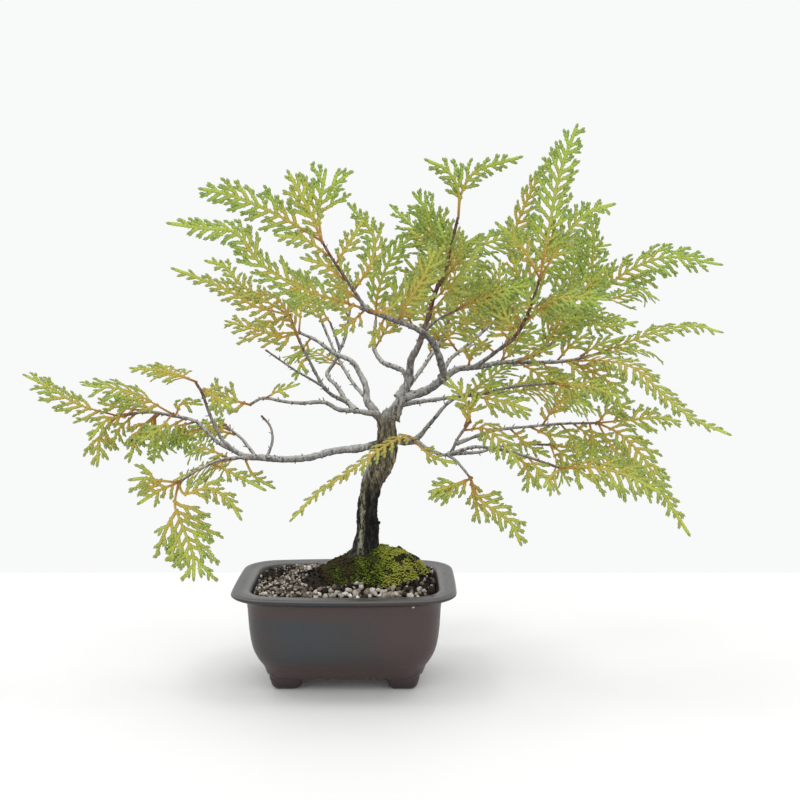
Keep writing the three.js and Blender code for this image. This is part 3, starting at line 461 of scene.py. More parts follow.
ground = copied("soil", "soil_ground")
refine(ground, lambda centre, normal: normal.z > 0.4 and centre[2] > SOIL_EDGE - 1.5, 3)
for vertex in ground.data.vertices:
    x, y, z = (np.array(vertex.co) - POT_MIDDLE) / MM
    if z > SOIL_EDGE - 1.2 and math.hypot(x - TRUNK_FOOT[0], y) > BARE_ROUND_TRUNK:
        crumbs = noise.noise(Vector((x, y, 0)) * 0.9) + 0.6 * noise.noise(Vector((x, y, 3)) * 2.1)
        vertex.co.z += (CRUMB_HEIGHT * crumbs - GROUND_DROP) * MM
peat = Finish("peaty soil", Roughness=0.95, Specular_IOR_Level=0.2)
crumb = peat.grain(1.4, 4, 0.7)
tint = crumb.step(0.3, 0.7545).between(linear("#14110e"), linear("#463c33"))
ground.data.materials.clear()
ground.data.materials.append(peat.end(tint, relief=crumb, depth=0.5))
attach(ground, "root")
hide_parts("soil")

# Gravel: angular grains of pumice and fired clay, two to three millimetres across, one loose layer
# over the ground inside the rim, coarser along the front. Five grains are shaped and copied.
GRAVEL_HALF = (48.6, 32.4)
GRAVEL_BOW = 3.2
GRAVEL_CORNER = 11
SCATTER_HALF = (49, 36)
SCATTER_CELL = 4
GRAVEL_SEED = 11
GRAVEL_TRIES = 16000
GRAIN_SHAPES = 5
GRAIN_SPACING = 0.78
BARE_SPACING = 1.6
MOSS_MIDDLE = (14, -4)
MOSS_HALF = (28, 20)


def moss_share(x, y):
    """0 at the middle of the moss and 1 on its lobed edge."""
    dx = np.subtract(x, MOSS_MIDDLE[0]) / MOSS_HALF[0]
    dy = np.subtract(y, MOSS_MIDDLE[1]) / MOSS_HALF[1]
    turn = np.arctan2(dy, dx)
    return np.hypot(dx, dy) / (1 + 0.07 * np.sin(5 * turn + 1) + 0.05 * np.sin(8 * turn))


def shape_of(piece):
    """A modelled shape's points and faces, and the object is then put away."""
    points = np.array([vertex.co[:] for vertex in piece.data.vertices])
    faces = [tuple(polygon.vertices) for polygon in piece.data.polygons]
    bpy.data.objects.remove(piece)
    return points, faces


def mesh_from(name, points, loops, starts):
    """A mesh from flat lists of points, of corners and of where each face starts."""
    mesh = bpy.data.meshes.new(name)
    mesh.vertices.add(len(points))
    mesh.vertices.foreach_set("co", np.ascontiguousarray(points, np.float32).ravel())
    mesh.loops.add(len(loops))
    mesh.loops.foreach_set("vertex_index", np.ascontiguousarray(loops, np.int32))
    mesh.polygons.add(len(starts))
    mesh.polygons.foreach_set("loop_start", np.ascontiguousarray(starts, np.int32))
    mesh.update(calc_edges=True)
    mesh.validate()
    return mesh


def stamped(shape, places, axes):
    """Copies of one shape in one list: each stands at a place, with its own three axes, in metres."""
    points, faces = shape
    count = len(places)
    copies = places[:, None, :] + np.einsum("pk,nkj->npj", points, axes)
    loops = np.array([corner for face in faces for corner in face])
    sizes = np.array([len(face) for face in faces])
    starts = np.concatenate([[0], np.cumsum(sizes)[:-1]])
    shift = np.arange(count)[:, None]
    return {
        "points": copies.reshape(-1, 3),
        "loops": (loops[None] + shift * len(points)).ravel(),
        "starts": (starts[None] + shift * len(loops)).ravel(),
        "each": len(points),
    }


def gathered(name, batches, labels):
    """One piece from several batches of points and faces, with a number for each point by label."""
    points = np.concatenate([b["points"] for b in batches])
    firsts = np.cumsum([0] + [len(b["points"]) for b in batches])
    corners = np.cumsum([0] + [len(b["loops"]) for b in batches])
    loops = np.concatenate([b["loops"] + first for b, first in zip(batches, firsts)])
    starts = np.concatenate([b["starts"] + corner for b, corner in zip(batches, corners)])
    piece = bpy.data.objects.new(name, mesh_from(name, points, loops, starts))
    bpy.context.scene.collection.objects.link(piece)
    for label, values in labels.items():
        kept = piece.data.attributes.new(label, "FLOAT", "POINT")
        kept.data.foreach_set("value", np.ascontiguousarray(values, np.float32))
    return piece


def turned(rng, count, tip):
    """Random axes, tipped by up to so much from upright, as one 3x3 of rows for each copy."""
    yaw = rng.uniform(0, 2 * np.pi, count)
    lean = rng.uniform(-tip, tip, (count, 2))
    across = np.stack([np.cos(yaw), np.sin(yaw), lean[:, 0]], 1)
    across /= np.linalg.norm(across, axis=1)[:, None]
    up = np.stack([lean[:, 0], lean[:, 1], np.ones(count)], 1)
    up -= across * np.sum(up * across, axis=1)[:, None]
    up /= np.linalg.norm(up, axis=1)[:, None]
    return np.stack([across, np.cross(up, across), up], 1)


def inside_rim(x, y):
    """Whether gravel may lie over a place: inside the pot's bowed and rounded wall."""
    over_x = np.maximum(np.abs(x) - (GRAVEL_HALF[0] - GRAVEL_CORNER), 0)
    bowed = GRAVEL_BOW * (1 - np.square(x / GRAVEL_HALF[0]))
    over_y = np.maximum(np.abs(y) - bowed - (GRAVEL_HALF[1] - GRAVEL_CORNER), 0)
    return np.hypot(over_x, over_y) <= GRAVEL_CORNER


def scattered(rng, tries, wanted, gap):
    """Seeded places in the pot, each kept where wanted and no nearer than its gap to one kept before."""
    kept = []
    cells = {}
    for x, y in zip(*[rng.uniform(-half, half, tries) for half in SCATTER_HALF]):
        if not wanted(x, y):
            continue
        room_about = gap(x, y)
        cell = (int(x // SCATTER_CELL), int(y // SCATTER_CELL))
        about = [(cell[0] + i, cell[1] + j) for i in (-1, 0, 1) for j in (-1, 0, 1)]
        near = [other for place in about for other in cells.get(place, [])]
        if all(math.hypot(x - other[0], y - other[1]) > room_about for other in near):
            cells.setdefault(cell, []).append((x, y))
            kept.append((x, y))
    return np.array(kept)


def grain_size(x, y):
    """Gravel is coarser along the front, right of the middle."""
    front = np.clip((-y - 10) / 16, 0, 1) * np.clip((x + 38) / 30, 0, 1)
    return 1.7 + 1.5 * front


def bareness(x, y):
    """How much peat shows between the grains: beside the moss, in the left and the right end."""
    left_end = 0.9 * math.exp(-(((x + 43) / 7) ** 2) - ((y - 16) / 12) ** 2)
    right_end = 0.6 * math.exp(-(((x - 43) / 7) ** 2) - ((y + 4) / 20) ** 2)
    by_moss = max(0, 1.5 - float(moss_share(x, y))) * 3.6 * (x < 6) * (y > -22)
    return min(left_end + right_end + by_moss, 1)


chance = np.random.default_rng(GRAVEL_SEED)
grains = []
tones = []
spots = scattered(
    chance,
    GRAVEL_TRIES,
    lambda x, y: inside_rim(x, y) and moss_share(x, y) > 0.97,
    lambda x, y: GRAIN_SPACING * grain_size(x, y) * (1 + BARE_SPACING * bareness(x, y)),
)
groups = chance.integers(0, GRAIN_SHAPES, len(spots))
for group in range(GRAIN_SHAPES):
    bpy.ops.object.select_all(action="DESELECT")
    bpy.ops.mesh.primitive_ico_sphere_add(subdivisions=1, radius=0.5)
    bpy.ops.object.mode_set(mode="EDIT")
    bpy.ops.mesh.select_all(action="SELECT")
    bpy.ops.mesh.bevel(offset=0.09, segments=1)
    bpy.ops.object.mode_set(mode="OBJECT")
    grain = bpy.context.object
    for vertex in grain.data.vertices:
        vertex.co *= 1 + 0.6 * noise.noise(vertex.co * 2.8 + Vector((group * 7, 0, 0)))
    mine = spots[groups == group]
    size = grain_size(mine[:, 0], mine[:, 1]) * chance.uniform(0.6, 1.35, len(mine))
    stretch = size[:, None] * chance.uniform(0.65, 1.35, (len(mine), 3)) * MM
    height = soil_height(mine[:, 0], mine[:, 1]) + 0.14 * size + chance.uniform(-0.6, 0.7, len(mine))
    rooted = metres(np.column_stack([mine, height]))
    grains.append(stamped(shape_of(grain), rooted, turned(chance, len(mine), 0.9) * stretch[:, :, None]))
    patch = np.array([noise.noise(Vector((x, y, 0)) * 0.11) for x, y in mine])
    dark = np.array([bareness(x, y) for x, y in mine]) + 0.5 * patch
    shade = np.clip(chance.beta(1.5, 1.6, len(mine)) - 0.6 * dark * (size < 3.2), 0, 1)
    tones.append(np.repeat(shade, grains[-1]["each"]))
gravel = gathered("gravel", grains, {"tone": np.concatenate(tones)})
stone = Finish("gravel", Roughness=0.9, Specular_IOR_Level=0.25)
tone = stone.label("tone")
pores = stone.grain(0.7, 3, 0.7)
GRAVEL_COLOURS = [
    (0.0, linear("#1c1815")), (0.2, linear("#443b33")), (0.4, linear("#7f7265")),
    (0.6, linear("#a89d90")), (0.8, linear("#d0cac0")), (1.0, linear("#f6f4ee")),
]
tint = stone.strand.node("ValToRGB", {"stops": GRAVEL_COLOURS}, {"Fac": tone + (pores - 0.5) * 0.35})
gravel.data.materials.append(stone.end(tint, relief=pores, depth=0.25))
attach(gravel, "root")

# Moss: a living cushion round the foot of the trunk, bright on the right, dark in the middle and
# brown on the left. A lumpy bed carries some thousands of little leafy stars.
MOSS_BED_DROP = 1.2
MOSS_SEED = 23
MOSS_TRIES = 60000
STAR_GAP = 0.5
STAR_SIZES = (0.9, 1.7)
STAR_POINTS = 5
TRUNK_GAP = 7.6
FRESH_FROM = 17
bed = copied("moss", "moss_bed")
refine(bed, lambda centre, normal: normal.z > 0.2, 3)


def moss_lumps(x, y):
    """Uneven growth of the cushion, in millimetres."""
    return 1.5 * noise.noise(Vector((x, y, 1)) * 0.17) + 0.9 * noise.noise(Vector((x, y, 5)) * 0.42)


for vertex in bed.data.vertices:
    x, y, z = (np.array(vertex.co) - POT_MIDDLE) / MM
    if z > soil_height(x, y) + 0.8:
        vertex.co.z += (moss_lumps(x, y) - MOSS_BED_DROP) * MM
bpy.ops.object.select_all(action="DESELECT")
bpy.ops.mesh.primitive_cone_add(vertices=2 * STAR_POINTS, radius1=0.5, radius2=0, depth=0.55)
star = bpy.context.object
ring = sorted(star.data.vertices, key=lambda v: (v.co.z, math.atan2(v.co.y, v.co.x)))[: 2 * STAR_POINTS]
for i, vertex in enumerate(ring):
    vertex.co.x *= 0.35 if i % 2 else 1.15
    vertex.co.y *= 0.35 if i % 2 else 1.15
    vertex.co.z += 0.0 if i % 2 else 0.42
tuft = shape_of(star)
chance = np.random.default_rng(MOSS_SEED)
spots = scattered(
    chance,
    MOSS_TRIES,
    lambda x, y: moss_share(x, y) < 1.03 and math.hypot(x - TRUNK_FOOT[0], y) > TRUNK_GAP,
    lambda x, y: STAR_GAP,
)
share = moss_share(*spots.T)
thick = np.maximum(5 + 0.22 * (spots[:, 0] - TRUNK_FOOT[0]), 2)
lift = thick * np.interp(share, [0, 0.6, 0.9, 1.03], [0.98, 0.95, 0.6, 0.15])
lumps = np.array([moss_lumps(x, y) for x, y in spots])
height = soil_height(*spots.T) + lift + lumps * np.interp(share, [0.8, 1], [1, 0.3])
height = height + chance.uniform(-0.3, 0.6, len(spots))
size = chance.uniform(*STAR_SIZES, len(spots)) * MM
axes = turned(chance, len(spots), 0.6) * size[:, None, None]
stars = stamped(tuft, metres(np.column_stack([spots, height])), axes)
patch = np.array([noise.noise(Vector((x, y, 2)) * 0.13) for x, y in spots])
fresh = (spots[:, 0] - FRESH_FROM) / np.where(spots[:, 0] > FRESH_FROM, 9, 30) + 0.75 * patch
fresh += chance.normal(0, 0.2, len(spots))
dead = np.exp(-(((spots[:, 0] - 28) / 7) ** 2) - ((spots[:, 1] - 7) / 6) ** 2)
fresh = fresh - 0.9 * dead
labels = {"fresh": np.repeat(np.clip(0.5 + 0.5 * fresh, 0, 1), stars["each"])}
labels["tip"] = np.tile(np.clip(tuft[0][:, 2] + 0.4, 0, 1), len(spots))
moss = gathered("moss_leaves", [stars], labels)
MOSS_COLOURS = [
    (0.0, linear("#5a4a38")), (0.16, linear("#5e5632")), (0.32, linear("#54602a")),
    (0.52, linear("#84982e")), (0.76, linear("#b6be44")), (1.0, linear("#d2d25e")),
]
velvet = Finish("moss leaves", Roughness=0.8, Specular_IOR_Level=0.25)
fresh = velvet.label("fresh") + (velvet.grain(3, 3) - 0.5) * 0.4
green_tip = velvet.strand.node("ValToRGB", {"stops": MOSS_COLOURS}, {"Fac": fresh})
shaded = fresh.step(0.4, 0.8).between(linear("#171a0c"), linear("#626e26"))
green_tip = velvet.label("tip").step(0.0, 0.75).between(shaded, green_tip)
moss.data.materials.append(velvet.end(green_tip))
under = Finish("moss bed", Roughness=0.95, Specular_IOR_Level=0.2)
brown = under.grain(2.2, 4, 0.7)
bed.data.materials.clear()
tint = brown.step(0.35, 0.65).between(linear("#17130c"), linear("#2c3214"))
bed.data.materials.append(under.end(tint, relief=brown, depth=0.5))
for piece in (bed, moss):
    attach(piece, "root")
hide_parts("moss")

# Wood: a leaning trunk that forks into some thirty limbs, all one growth. The old bark is grey and
# splits into flakes, the foot is nearly black with a pale bare strip, and twigs turn brown at the ends.
ROOT_END = 26
TRUNK = {
    "way": [
        (11, 0, ROOT_END), (11, 0, 60), (11, 0, 71), (12, 0, 80), (12, 0, 93), (15, 0, 108),
        (20, 0, 117), (23, 0, 126), (23, 0, 134), (23, 0, 141), (26, 0, 147),
    ],
    "radii": [6.2, 6.6, 6.8, 6.4, 6, 5.6, 5.3, 6.2, 6, 5.4, 4],
}
TRUNK_SIDES = 64
TRUNK_STEP = 0.75
THICK_LIMB = 1.6
LIMB_SIDES = 14
LIMB_STEP = 1.3
TWIG_SIDES = 9
TWIG_STEP = 1.1
COLLAR = 0.35
Limb = namedtuple("Limb", "thick thin way")
KNOB = Limb(1.2, 0.9, [(13, -2, 86), (16, -3, 86), (19, -4, 85)])
STUB_GAP = 4
STUB_SEED = 5
ROOT_FLARE = 0.36
LEFT_FLARE = 0.3
TRUNK_RELIEF = 0.75
LIMB_RELIEF = 0.22
ROUGH_FROM = 60
BROWN_LIMBS = ("mast", "right_fore", "right_rise", "sweep_rise")

LIMBS = {
    "low_left": (2.7, 1.7, [
        (22, 0, 129), (9, -6, 127), (-6, -12, 126), (-20, -16, 123), (-33, -20, 123), (-43, -22, 124),
        (-54, -24, 125)]),
    "low_left_rise": (1.3, 0.8, [
        (-52, -24, 124), (-63, -24, 133), (-66, -25, 138), (-70, -28, 149), (-73, -30, 159),
        (-76, -32, 165)]),
    "low_left_far": (1.4, 0.8, [
        (-50, -23, 124), (-65, -21, 131), (-71, -20, 136), (-79, -18, 143), (-91, -18, 146),
        (-104, -18, 148), (-120, -18, 146)]),
    "low_left_drop": (1.2, 0.7, [(-50, -23, 125), (-64, -30, 124), (-74, -34, 120), (-84, -39, 114)]),
    "low_left_back": (1.2, 0.7, [(-46, -22, 124), (-55, -10, 132), (-62, 2, 135), (-68, 14, 137)]),
    "low_left_arch": (0.9, 0.6, [(-41, -22, 124), (-38, -20, 132), (-39, -18, 140), (-44, -17, 146)]),
    "mid_left": (1.9, 0.8, [
        (18, 0, 145), (4, -2, 147), (-4, -4, 148), (-11, -6, 152), (-24, -10, 152), (-32, -12, 153),
        (-43, -14, 155), (-50, -16, 152)]),
    "inner_left": (1.7, 0.8, [
        (6, -2, 147), (0, 6, 152), (-5, 12, 159), (-11, 18, 165), (-7, 22, 172), (-4, 26, 179),
        (-1, 30, 187), (1, 38, 201)]),
    "inner_left_side": (0.9, 0.6, [(-4, 26, 179), (-7, 22, 188), (-9, 18, 194)]),
    "fore_left": (1.4, 0.7, [
        (1, 5, 151), (-8, 0, 156), (-13, -6, 163), (-20, -12, 178), (-23, -16, 185), (-28, -20, 199)]),
    "bare_left": (0.9, 0.5, [(-11, -4, 160), (-19, -14, 166), (-27, -24, 172), (-39, -36, 182)]),
    "twin_left": (3, 0.9, [
        (22, 0, 139), (16, 1, 146), (12, 3, 152), (11, 6, 160), (8, 10, 166), (3, 14, 173), (-7, 22, 177),
        (-18, 30, 184), (-28, 38, 188)]),
    "leader": (3.9, 3.3, [(25, 0, 143), (29, 0, 150), (33, 0, 156)]),
    "twist": (2.4, 1, [
        (29, 0, 154), (34, 4, 163), (32, 6, 168), (27, 10, 170), (21, 16, 172), (17, 22, 176),
        (15, 27, 182), (16, 38, 195)]),
    "mast": (3.1, 0.8, [
        (31, 0, 154), (35, -2, 164), (36, -6, 175), (40, -10, 183), (45, -18, 199), (48, -22, 210),
        (54, -24, 226), (60, -26, 250)]),
    "mast_side": (1, 0.6, [(43, -14, 191), (51, -22, 198), (61, -30, 203)]),
    "sweep": (3.2, 1.2, [
        (30, 0, 154), (44, -4, 158), (53, -9, 166), (52, -14, 173), (49, -20, 182), (44, -26, 189),
        (36, -32, 194), (23, -41, 199), (10, -48, 204)]),
    "sweep_rise": (1.1, 0.7, [(13, -46, 203), (6, -51, 214), (-2, -56, 226), (-8, -58, 236)]),
    "right": (2.3, 0.9, [
        (52, -9, 164), (61, -6, 170), (73, -2, 171), (84, 2, 173), (94, 6, 173), (110, 6, 173),
        (123, 4, 174), (134, 0, 177)]),
    "right_rise": (1.4, 0.8, [
        (92, 5, 173), (108, 14, 178), (120, 22, 187), (130, 30, 198), (139, 34, 207)]),
    "right_back": (1.5, 0.8, [
        (52, -9, 166), (57, 4, 174), (64, 16, 179), (74, 30, 186), (88, 42, 198), (100, 50, 213)]),
    "right_fore": (1.4, 0.8, [
        (71, -3, 171), (81, -16, 180), (90, -30, 189), (96, -40, 203), (100, -46, 218)]),
    "low_right": (2.8, 2, [(24, 0, 132), (31, -2, 130), (40, -4, 131)]),
    "low_right_rise": (1.5, 0.7, [
        (38, -4, 131), (42, -6, 135), (48, -10, 143), (59, -16, 155), (78, -20, 159), (90, -22, 162),
        (111, -26, 164)]),
    "low_right_run": (1.6, 0.8, [
        (38, -4, 131), (47, -10, 126), (56, -16, 125), (61, -18, 134), (67, -20, 143)]),
    "low_right_long": (1.2, 0.7, [
        (60, -18, 131), (75, -14, 136), (84, -12, 138), (100, -8, 139), (117, -4, 140), (138, 0, 140)]),
    "low_right_fore": (1.2, 0.7, [
        (56, -16, 125), (69, -24, 130), (79, -30, 130), (92, -36, 128), (112, -44, 122)]),
    "low_right_back": (1.1, 0.7, [
        (56, -15, 125), (73, -8, 125), (82, 2, 126), (98, 16, 126), (116, 28, 124)]),
    "low_right_drop": (0.9, 0.7, [(55, -15, 125), (61, -20, 121), (67, -26, 114)]),
    "behind_left": (2, 0.8, [(23, 0, 137), (14, 22, 148), (2, 44, 159), (-9, 58, 176), (-17, 68, 193)]),
    "behind_middle": (2, 0.8, [(30, 1, 154), (36, 20, 160), (44, 38, 169), (54, 52, 183), (60, 62, 201)]),
    "behind_right": (2, 0.8, [(28, 0, 150), (46, 24, 150), (70, 44, 151), (96, 58, 152)]),
}
LIMBS = {name: Limb(*limb) for name, limb in LIMBS.items()}


class Route:
    """A smooth way through given points, walked by its length in millimetres."""

    def __init__(self, way):
        points = np.array(way, float)
        points = np.vstack([2 * points[0] - points[1], points, 2 * points[-1] - points[-2]])
        t = np.linspace(0, 1, 48, endpoint=False)[:, None]
        legs = []
        for before, start, end, after in zip(points, points[1:], points[2:], points[3:]):
            leave = (end - before) / 2
            arrive = (after - start) / 2
            legs.append(
                (2 * t**3 - 3 * t**2 + 1) * start + (t**3 - 2 * t**2 + t) * leave
                + (3 * t**2 - 2 * t**3) * end + (t**3 - t**2) * arrive
            )
        self.points = np.vstack(legs + [points[-2:-1]])
        steps = np.linalg.norm(np.diff(self.points, axis=0), axis=1)
        self.walked = np.concatenate([[0], np.cumsum(steps)])
        self.length = self.walked[-1]

    def on(self, s):
        return np.stack([np.interp(s, self.walked, self.points[:, i]) for i in range(3)], -1)

    def along(self, s):
        s = np.clip(s, 0.2, self.length - 0.2)
        ahead = self.on(s + 0.2) - self.on(s - 0.2)
        return ahead / np.linalg.norm(ahead, axis=-1, keepdims=True)

    def at(self, s):
        """The place after so many millimetres, straight on past either end."""
        s = np.asarray(s, float)
        inside = np.clip(s, 0, self.length)
        return self.on(inside) + self.along(inside) * (s - inside)[..., None]


def limb_radius(limb, share):
    """A limb's radius at a share of its length; it thins fastest near its fork."""
    return limb.thick + (limb.thin - limb.thick) * np.sqrt(share)


def loft(centres, alongs, radii, sides):
    """A closed skin over rings about a way; radii holds one row of lengths for each ring."""
    across = np.array([1.0, 0.0, 0.0])
    turns = np.arange(sides) / sides * 2 * np.pi
    rings = []
    for centre, along, row in zip(centres, alongs, radii):
        across = across - along * (across @ along)
        across /= np.linalg.norm(across)
        up = np.cross(along, across)
        rings.append(centre + row[:, None] * (np.cos(turns)[:, None] * across + np.sin(turns)[:, None] * up))
    count = len(rings)
    a = np.arange(sides)
    b = (a + 1) % sides
    band = np.stack([a, b, sides + b, sides + a], 1)
    side_loops = np.concatenate([k * sides + band for k in range(count - 1)]).ravel()
    last = (count - 1) * sides
    loops = np.concatenate([side_loops, a[::-1], last + a])
    starts = np.concatenate([np.arange(0, len(side_loops), 4), [len(side_loops), len(side_loops) + sides]])
    return {"points": metres(np.concatenate(rings)), "loops": loops, "starts": starts, "each": count * sides}


def bark_relief(point, size):
    """Flakes and fissures of the bark at a place, longer up the stem than across it, about -1 to 1."""
    x, y, z = point
    plates = noise.noise(Vector((x * 0.55, y * 0.55, z * 0.2)) * size)
    cracks = 1 - abs(noise.noise(Vector((x * 0.9, y * 0.9, z * 0.24 + 9)) * size)) * 3.2
    fine = noise.noise(Vector((x * 1.9, y * 1.9, z * 0.8)) * size)
    return plates * 0.9 - max(cracks, 0) * 0.75 + fine * 0.35


trunk_route = Route(TRUNK["way"])
s = np.arange(0, trunk_route.length, TRUNK_STEP)
shares = s / trunk_route.length
centres = trunk_route.at(s)
turns = np.arange(TRUNK_SIDES) / TRUNK_SIDES * 2 * np.pi
plain = np.interp(shares * (len(TRUNK["radii"]) - 1), range(len(TRUNK["radii"])), TRUNK["radii"])
twist = shares[:, None]
flutes = 1 + 0.06 * np.cos(3 * turns + 0.8 + twist) + 0.04 * np.cos(5 * turns + 4 * twist)
spread = np.exp(-np.maximum(centres[:, 2] - 67, 0) / 4.5)[:, None]
flare = 1 + ROOT_FLARE * spread * (1 + 0.5 * np.cos(3 * turns + 0.4))
spread = np.exp(-np.maximum(centres[:, 2] - 66, 0) / 4)[:, None]
flare += LEFT_FLARE * spread * np.clip(-np.cos(turns), 0, 1) ** 2
flare[centres[:, 2] < 62] = 1
radii = plain[:, None] * flutes * flare
for k, centre in enumerate(centres):
    if centre[2] < ROUGH_FROM:
        continue
    for j, turn in enumerate(turns):
        spot = centre + radii[k, j] * np.array([math.cos(turn), math.sin(turn), 0])
        radii[k, j] += TRUNK_RELIEF * bark_relief(spot, 1.0)
timber, youth, stub_marks = [], [], []


def keep(made, young, stub=0.0):
    """Adds a part of the wood, with how young its bark is and whether it is a dead stub."""
    timber.append(made)
    youth.append(np.full(len(made["points"]), young))
    stub_marks.append(np.full(len(made["points"]), stub))


def cane(route, radius, sides, step, relief, collar):
    """One limb or twig: a loft along its route with knots, a collar at its fork and rough bark."""
    s = np.linspace(0, route.length, max(4, int(route.length / step)))
    centres = route.at(s)
    alongs = route.along(s)
    rows = []
    for centre, share, walked in zip(centres, s / route.length, s):
        base = float(radius(share)) * (1 + collar * math.exp(-walked / 3.2))
        knots = 1 + relief * 0.75 * noise.noise(Vector(centre) * 0.33)
        row = []
        for turn in np.arange(sides) / sides * 2 * np.pi:
            spot = centre + base * np.array([math.cos(turn), math.sin(turn), math.sin(turn)])
            row.append(base * (knots + relief * bark_relief(spot, 1.3)))
        rows.append(row)
    made = loft(centres, alongs, np.array(rows), sides)
    return made, np.repeat(s / route.length, sides)


keep(loft(centres, trunk_route.along(s), radii, TRUNK_SIDES), 0.0)
limb_routes = {name: Route(limb.way) for name, limb in LIMBS.items()}
for name, limb in LIMBS.items():
    thick = limb.thick > THICK_LIMB
    made, share = cane(
        limb_routes[name], lambda at, limb=limb: limb_radius(limb, at),
        LIMB_SIDES if thick else TWIG_SIDES, LIMB_STEP if thick else TWIG_STEP, LIMB_RELIEF, COLLAR,
    )
    grown_brown = 0.35 + share if name in BROWN_LIMBS else share**1.5 * (0.7 if thick else 1.0)
    keep(made, np.clip(grown_brown, 0, 1))
keep(cane(Route(KNOB.way), lambda at: limb_radius(KNOB, at), 12, 0.8, 0.2, 0.4)[0], 0.0)

bpy.ops.object.select_all(action="DESELECT")
bpy.ops.mesh.primitive_cone_add(vertices=5, radius1=0.42, radius2=0.24, depth=1, location=(0, 0, 0.5))
stub = bpy.context.object
bpy.ops.object.transform_apply(location=True)
stub = shape_of(stub)
chance = np.random.default_rng(STUB_SEED)
roots, axes = [], []
for name, limb in LIMBS.items():
    route = limb_routes[name]
    for walked in np.arange(7, route.length - 2, STUB_GAP):
        walked += chance.uniform(-2, 2)
        along = route.along(walked)
        away = np.cross(along, chance.normal(0, 1, 3))
        away /= np.linalg.norm(away)
        lean = away + along * chance.uniform(0.2, 1.1)
        lean /= np.linalg.norm(lean)
        side = np.cross(lean, along)
        side /= np.linalg.norm(side)
        radius = float(limb_radius(limb, walked / route.length))
        long = chance.uniform(0.7, 2.0) * (1.3 if radius < 1.2 else 1.0)
        width = min(1.1, 0.55 * radius + 0.25)
        roots.append(route.at(walked) + away * radius * 0.6)
        axes.append([side * width, np.cross(lean, side) * width, lean * long])
stubs = stamped(stub, metres(np.array(roots)), np.array(axes) * MM)
keep(stubs, 0.55, 1.0)
labels = {"young": np.concatenate(youth), "stub": np.concatenate(stub_marks)}
wood = gathered("trunk_and_limbs", timber, labels)
only(wood)
bpy.ops.object.shade_smooth_by_angle(angle=math.radians(50))
bark = Finish("bark", Roughness=0.88, Specular_IOR_Level=0.25)
young = bark.label("young")
stretch = bark.strand.node("Mapping", None, {"Vector": bark.place(), "Scale": (1.0, 1.0, 0.34)}, "Vector")
flakes = bark.grain(1.5, 4, 0.65, along=stretch)
broad = bark.grain(5, 3, 0.6, along=stretch)
east = bark.axis("x")
north = bark.axis("y")
height = bark.axis("z")
normal = bark.strand.node("NewGeometry", output="Normal")
facing = bark.strand.node("SeparateXYZ", None, {0: normal}, "Z")
crack = bark.grain(0.8, 3, 0.6, along=stretch)
grey = flakes.step(0.34, 0.6525).between(linear("#4c4743"), linear("#bab8b4"))
grey = broad.step(0.45, 0.7).between(grey, linear("#8d8984"))
# Painted light: bark that faces up is painted lighter, a painted highlight of the light from above, and bark
# that faces down is painted darker, a painted shade on the undersides.
grey = (facing.step(0.1, 0.9) * 0.65).between(grey, linear("#dddcd9"))
grey = (facing.step(0.1, -0.8) * 0.7).between(grey, linear("#3c3835"))
rough = flakes.step(0.38, 0.6741).between(linear("#29241d"), linear("#a3997f"))
rough = (broad.step(0.42, 0.62) * 0.6).between(rough, linear("#54503f"))
uneven = broad - 0.5
bole = (height + uneven * 14).step(152, 138) * east.step(35, 31)
bole = bole * (east - height.step(100, 116) * 10).step(1, 6)
coat = bole.between(grey, rough)
low_part = (height + uneven * 26).step(112, 98)
lean = east + uneven * 5 + (height - 62) * -0.03
right_edge = lean.step(8.8, 10.6)
left_edge = (lean + (flakes - 0.5) * 2).step(7.6, 6.4)
wet = flakes.step(0.44, 0.8246).between(linear("#131211"), linear("#4c4a46"))
dark = bark.strand.maths("MAXIMUM", right_edge, left_edge * 0.9) * low_part
dark = bark.strand.maths("MAXIMUM", dark, (height + uneven * 6).step(74, 66) * 0.9)
dark = bark.strand.maths("MAXIMUM", dark, (north + uneven * 5).step(2.0, 4.0) * low_part)
algae = (height + uneven * 20).step(104, 84) * 0.85
coat = (algae * flakes.step(0.4, 0.55)).between(coat, linear("#a6a890"))
coat = dark.between(coat, wet)
coat = (crack.step(0.42, 0.36) * 0.55).between(coat, linear("#24201c"))
twig = flakes.step(0.35, 0.7346).between(linear("#4e3526"), linear("#957457"))
coat = (young.step(0.45, 1.0) * 0.85).between(coat, twig)
coat = (bark.label("stub") * 0.6).between(coat, linear("#3d352f"))
wood.data.materials.append(bark.end(coat, relief=flakes + crack * 0.5, depth=0.8))
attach(wood, "root")
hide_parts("wood")

# Leaf sprays: flat fans of scale leaves. A brown stalk leaves the limb and turns green, side shoots
# leave it left and right, and each carries shorter ones. Every shoot is a chain of overlapping
# scales, modelled once: a flat lozenge, widest past its middle, that ends in a blunt point.
LEAFLET_PITCH = 9.8
BARE_STALK = 3.5
BARE_FORK = 10
LEAST_LEAFLET = 4.5
BLADE_ARCH = 0.006
SCALE_PITCH = 1.9
SCALE_WIDTH = 2.15
SCALE_THICKNESS = 0.85
STALK_SIDES = 6
STALK_RADII = (0.62, 0.34)
SHOOT_GAP = 3.9
PLAIN_SHOOT = 6
TOOTH_ROOM = 3
LEAST_TOOTH = 3.2
TEETH_ORDERS = 2
CLEARANCE = 0.3
BEND_STEP = 2
MOST_BENDS = 24
FRESH_BELOW = 0.32
GOLDEN = ("golden", "arch_left", "across_trunk", "brown_rise", "far_left_under", "mid_left_end")
